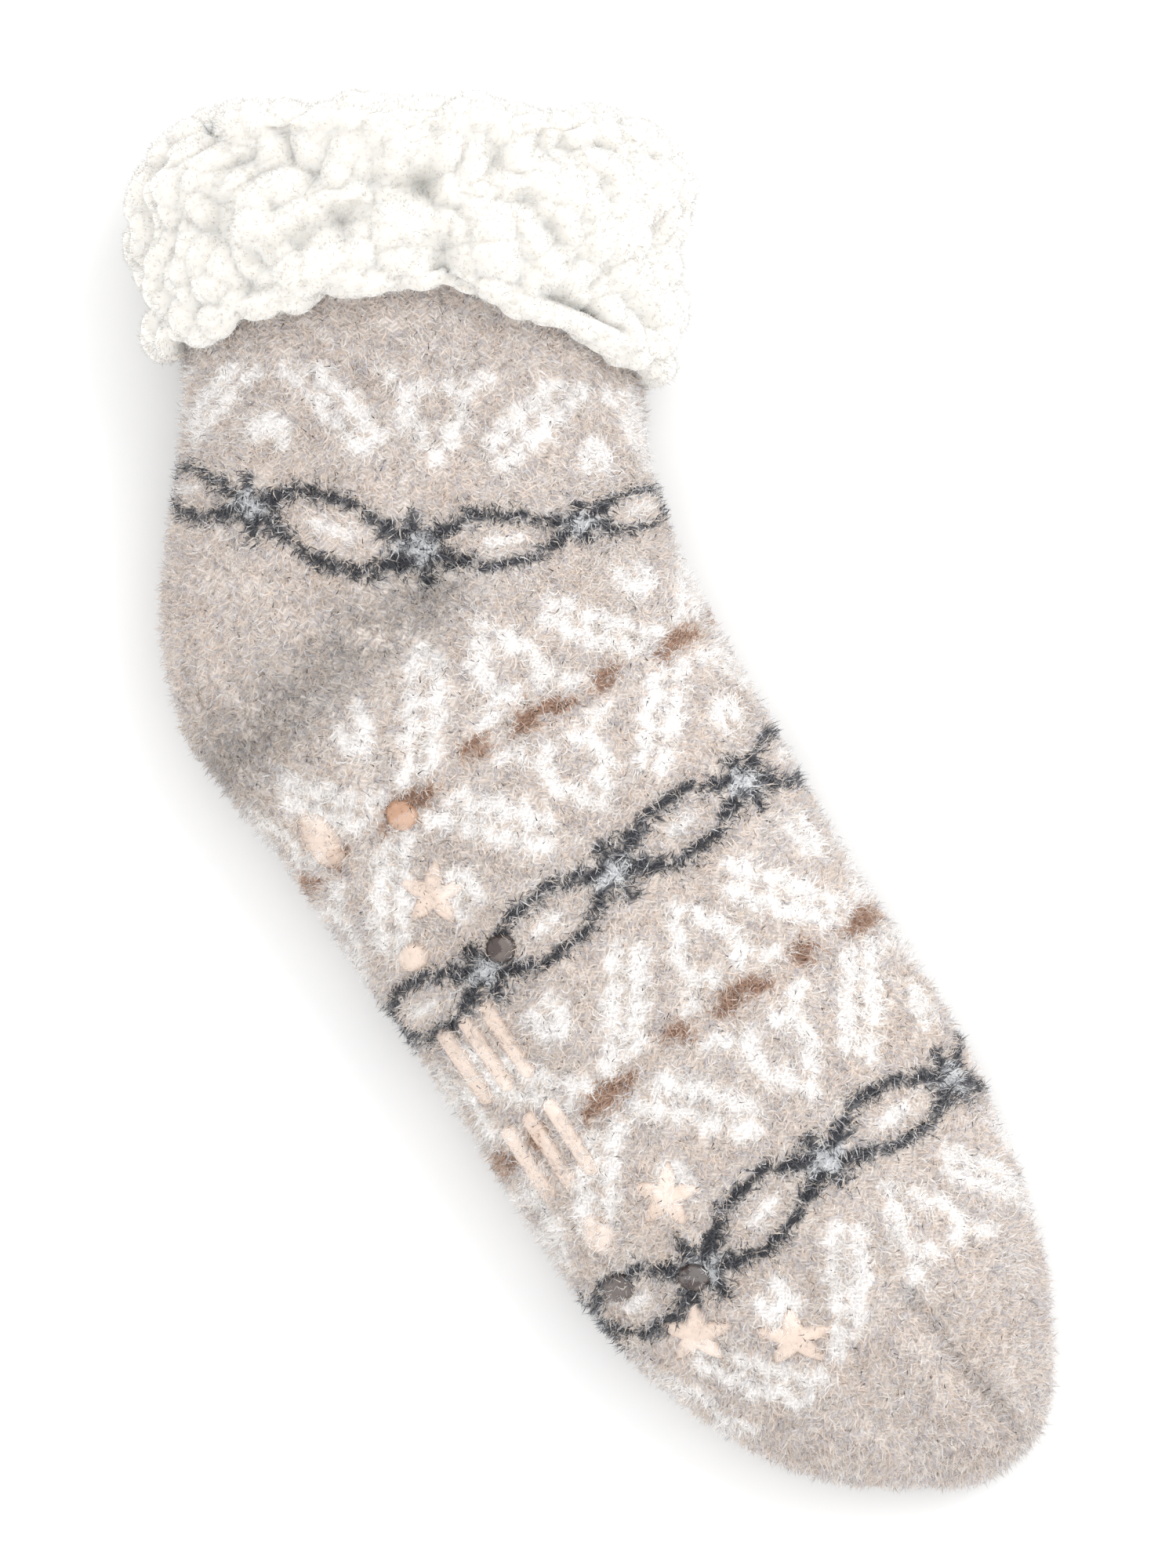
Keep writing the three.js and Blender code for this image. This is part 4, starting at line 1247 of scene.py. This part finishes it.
@dataclass
class SiliconeGrips:
    """The silicone grips printed on the sole, each a soft low pad that follows the knit."""

    knit: KnitSock
    silicone: PrintedSilicone
    rings: int = 8
    around: int = 40
    height: float = 1.0
    dot_rise: float = 1.6
    seat: float = 0.25
    skirt: float = 0.8
    star_radius: float = 7.5
    star_waist: float = 0.45
    dot_radius: float = 3.2
    oval_radius: float = 3.6
    oval_stretch: float = 1.4
    bar_length: float = 19.0
    bar_width: float = 3.4
    bar_pitch: float = 5.2
    bars_in_row: int = 3
    same_place: float = 3.0
    first_bar: float = 0.06
    bar_rows: tuple[float, ...] = (0.277, 0.41)
    tints: tuple[tuple[str, float], ...] = (("#E9D2C1", 0.75), ("#B98F72", 0.8), ("#33231D", 0.9))
    # form, share of the foot's run, share of the foot's width in from the sole's fold, tint
    places: tuple[tuple[GripForm, float, float, Tint], ...] = (
        (GripForm.OVAL, -0.02, 0.08, Tint.PALE),
        (GripForm.DOT, 0.0, 0.25, Tint.TAN),
        (GripForm.STAR, 0.093, 0.21, Tint.PALE),
        (GripForm.DOT, 0.141, 0.1, Tint.PALE),
        (GripForm.DOT, 0.187, 0.26, Tint.DARK),
        (GripForm.STAR, 0.526, 0.26, Tint.PALE),
        (GripForm.OVAL, 0.522, 0.1, Tint.PALE),
        (GripForm.DOT, 0.584, 0.07, Tint.DARK),
        (GripForm.DOT, 0.62, 0.205, Tint.DARK),
        (GripForm.STAR, 0.677, 0.125, Tint.PALE),
        (GripForm.STAR, 0.741, 0.26, Tint.PALE),
    )

    def outline(self, form: GripForm, turn: Array) -> Array:
        """The outline's points round a grip, with its length along the foot.

        Args:
            form: which outline.
            turn: angles round it.

        Returns:
            The points, in millimetres from its middle.
        """
        round_it = np.stack([np.cos(turn), np.sin(turn)], -1)
        if form is GripForm.DOT:
            return round_it * self.dot_radius
        if form is GripForm.OVAL:
            return round_it * self.oval_radius * np.array([self.oval_stretch, 1.0])
        if form is GripForm.BAR:
            straight = (self.bar_length - self.bar_width) / 2
            ends = np.stack([np.sign(round_it[:, 0]) * straight, 0 * turn], -1)
            return round_it * self.bar_width / 2 + ends
        ray = np.abs(((turn * 5 / (2 * np.pi)) % 1) * 2 - 1)
        return round_it * (self.star_radius * (self.star_waist + (1 - self.star_waist) * ray**1.25))[:, None]

    def surface_at(self, along: Array, across: Array, upper: bool) -> tuple[Array, Array, Array]:
        """Points and normals of the knit a distance in from the sole's fold.

        Args:
            along: places along the middle line.
            across: distances in from the fold.
            upper: whether on the upper side.

        Returns:
            The points, the normals and the angles.
        """
        form = self.knit.form
        half = (form.curves["sole"](along) + form.curves["instep"](along)) / 2
        cosine = np.clip(1 - np.maximum(across, 0) / half, 0, 1) ** (form.roundness / 2)
        angle = np.pi - np.arccos(cosine) * (1 if upper else -1)
        angle = np.where(across < 0, np.pi + (0.02 * across if upper else -0.02 * across), angle)
        step = 0.3
        points = form.points(along, angle, 0.0)
        forward = form.points(along + step, angle, 0.0) - form.points(along - step, angle, 0.0)
        round_it = form.points(along, angle + 0.01, 0.0) - form.points(along, angle - 0.01, 0.0)
        return points, unit(np.cross(round_it, forward)), angle

    def build_grip(self, form: GripForm, along: float, across: float, tint: Tint, upper: bool,
                   number: int, material: bpy.types.Material) -> bpy.types.Object:
        """Makes one grip.

        Args:
            form: its outline.
            along: its place along the middle line.
            across: its distance in from the sole's fold.
            tint: how much it hides the yarn.
            upper: whether on the upper side.
            number: for its name.
            material: its finish.

        Returns:
            The piece.
        """
        turn = np.arange(self.around) * 2 * np.pi / self.around
        edge = self.outline(form, turn)
        tall = self.height * (self.dot_rise if form is GripForm.DOT else 1.0)
        shares = np.linspace(1, 0.12, self.rings)
        flat = shares[:, None, None] * edge[None]
        if form is GripForm.BAR:
            centre = np.clip(edge[None, :, :1], -self.bar_length / 2 + self.bar_width / 2,
                             self.bar_length / 2 - self.bar_width / 2) * np.array([1.0, 0.0])
            flat = centre + shares[:, None, None] * (edge[None] - centre)
        places_along, places_across = along + flat[..., 0], across + flat[..., 1]
        points, out, angle = self.surface_at(places_along, places_across, upper)
        lift = self.seat + tall * np.clip(1 - shares**3, 0, 1) ** 0.6
        top = points + out * lift[:, None, None]
        skirt = points[:1] - out[:1] * self.skirt
        stack = np.concatenate([skirt, top])
        stack[..., 2] = np.maximum(stack[..., 2], 0.08)
        under = points[-1].mean(0) - out[-1].mean(0) * self.skirt
        crown = stack[-1].mean(0) + out[-1].mean(0) * 0.02
        corners = np.concatenate([[under], stack.reshape(-1, 3), [crown]])
        quads, triangles = loft_faces(len(stack), self.around)
        colours = self.colours(np.concatenate([[along], places_along.ravel()]),
                               np.concatenate([[across], places_across.ravel()]), tint, upper)
        all_colours = np.concatenate([colours[:1], colours[1:self.around + 1], colours[1:], colours[:1]])
        parts = MeshParts(self.knit.form.to_row(corners), triangles, quads, all_colours)
        piece = parts.to_object(f"silicone_{form.name.lower()}_{number}", material)
        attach(piece, "root")
        return piece

    def colours(self, along: Array, across: Array, tint: Tint, upper: bool) -> Array:
        """Colours of the wetted yarn under the silicone.

        Args:
            along: places along the middle line.
            across: distances in from the sole's fold.
            tint: how much the silicone hides the yarn.
            upper: whether on the upper side.

        Returns:
            The linear colours.
        """
        _, _, angle = self.surface_at(along, across, upper)
        row = np.clip(np.searchsorted(self.knit.along, along), 0, len(self.knit.along) - 1)
        column = np.clip(np.round(angle / (2 * np.pi) * self.knit.around).astype(int), 0, self.knit.around)
        yarns = self.knit.chart.yarns(self.knit.wale[row, column], self.knit.course[row, column])
        core = self.knit.core_colours(yarns)
        hex_colour, share = self.tints[tint]
        return core * (1 - share) + np.array(linear_from_hex(hex_colour)[:3]) * share

    def build(self) -> list[bpy.types.Object]:
        """Builds every grip on both sides, and hides the solid grip of the same form that lies where each
        one does.
        """
        materials = {tint: self.silicone.material(*finish) for tint, finish in CLEARNESS.items()}
        form = self.knit.form
        bars = [(GripForm.BAR, at, self.first_bar + i * self.bar_pitch / form.foot_width, Tint.PALE)
                for at in self.bar_rows for i in range(self.bars_in_row)]
        grip_nodes = [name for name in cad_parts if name.startswith("grip_")]
        solids = {name: (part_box(name)[0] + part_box(name)[1]) / 2 for name in grip_nodes}
        pieces, count = [], {shape: 0 for shape in GripForm}
        for shape, at, in_from_fold, tint in [*self.places, *bars]:
            for upper in (True, False):
                count[shape] += 1
                piece = self.build_grip(shape, at * form.foot_run, in_from_fold * form.foot_width, tint,
                                        upper, count[shape], materials[tint])
                middle = sum((Vector(corner) for corner in piece.bound_box), Vector()) / 8
                alike = [name for name in solids if name.split("_")[1] == shape.name.lower()]
                near = min(alike, key=lambda name: (solids[name] - middle).length, default=None)
                if near and (solids[near] - middle).length < self.same_place * MM:
                    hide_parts(near)
                    solids.pop(near)
                pieces.append(piece)
        LOG.info("grips: %d pieces, solids without a piece: %s", len(pieces), sorted(solids))
        return pieces


@dataclass
class Studio:
    """A white floor in soft light, and a camera that looks straight down on the sock."""

    form: SockForm
    view_centre: tuple[float, float] = (15.8, 10.5)
    view_height: float = 333.3
    view_level: float = 20.0
    camera_rise: float = 2.6
    sensor: float = 36.0
    right: tuple[float, float] = (0.5505, 0.8348)
    floor_size: float = 4.0
    floor_colour: str = "#D8D8D8"
    sky_strength: float = 1.75
    key_power: float = 9.0
    key_size: float = 1.1
    # the light's place from the view's centre: to the right, up the picture, above the floor
    key_place: tuple[float, float, float] = (0.75, 0.7, 1.0)

    def build(self) -> None:
        """Makes the floor, the lights and the camera."""
        scene = bpy.context.scene
        scene.view_settings.view_transform = "Standard"
        half = self.floor_size / 2
        corners = np.array([[-half, -half, 0], [half, -half, 0], [half, half, 0], [-half, half, 0]])
        paper = new_material("matt_white_paper")
        finish_material(paper, {"Base Color": linear_from_hex(self.floor_colour), "Roughness": 0.95,
                                "Specular IOR Level": 0.1}, {})
        floor = MeshParts(corners, quads=np.array([[0, 1, 2, 3]])).to_object("floor", paper)
        sky = bpy.data.worlds.new("studio")
        sky.use_nodes = True
        sky.node_tree.nodes["Background"].inputs["Color"].default_value = (1, 1, 1, 1)
        sky.node_tree.nodes["Background"].inputs["Strength"].default_value = self.sky_strength
        scene.world = sky
        centre = Vector(self.form.to_row(np.array([*self.view_centre, 0.0])))
        right = Vector((*self.right, 0.0))
        up = Vector((-self.right[1], self.right[0], 0.0))
        lamp = bpy.data.lights.new("softbox", "AREA")
        lamp.energy = self.key_power
        lamp.size = self.key_size
        key = bpy.data.objects.new("softbox", lamp)
        to_right, to_top, above = self.key_place
        key.location = centre + right * to_right + up * to_top + Vector((0, 0, above))
        key.rotation_mode = "QUATERNION"
        key.rotation_quaternion = (centre - key.location).to_track_quat("-Z", "Y")
        scene.collection.objects.link(key)
        lens = bpy.data.cameras.new("camera")
        lens.sensor_width = self.sensor
        lens.lens = self.sensor * self.camera_rise / (self.view_height * MM)
        lens.clip_start, lens.clip_end = 0.1, 20.0
        camera = bpy.data.objects.new("camera", lens)
        place = Matrix((right, up, Vector((0, 0, 1)))).transposed().to_4x4()
        place.translation = centre + Vector((0, 0, self.view_level * MM + self.camera_rise))
        camera.matrix_world = place
        scene.collection.objects.link(camera)
        scene.camera = camera


def main() -> None:
    """Builds the sock's sub-assemblies in order, then the studio."""
    logging.basicConfig(level=logging.INFO, format="%(name)s %(message)s")
    form = SockForm()
    studio = Studio(form)
    knit = KnitSock(form, KnitLayout(), KnitChart(), BrushedFeatherYarn())
    pieces = knit.build()
    pieces += SherpaLining(form, SherpaPile()).build()
    pieces += SiliconeGrips(knit, PrintedSilicone()).build()
    studio.build()
    LOG.info("%d pieces", len(pieces))


if __name__ == "__main__":
    main()
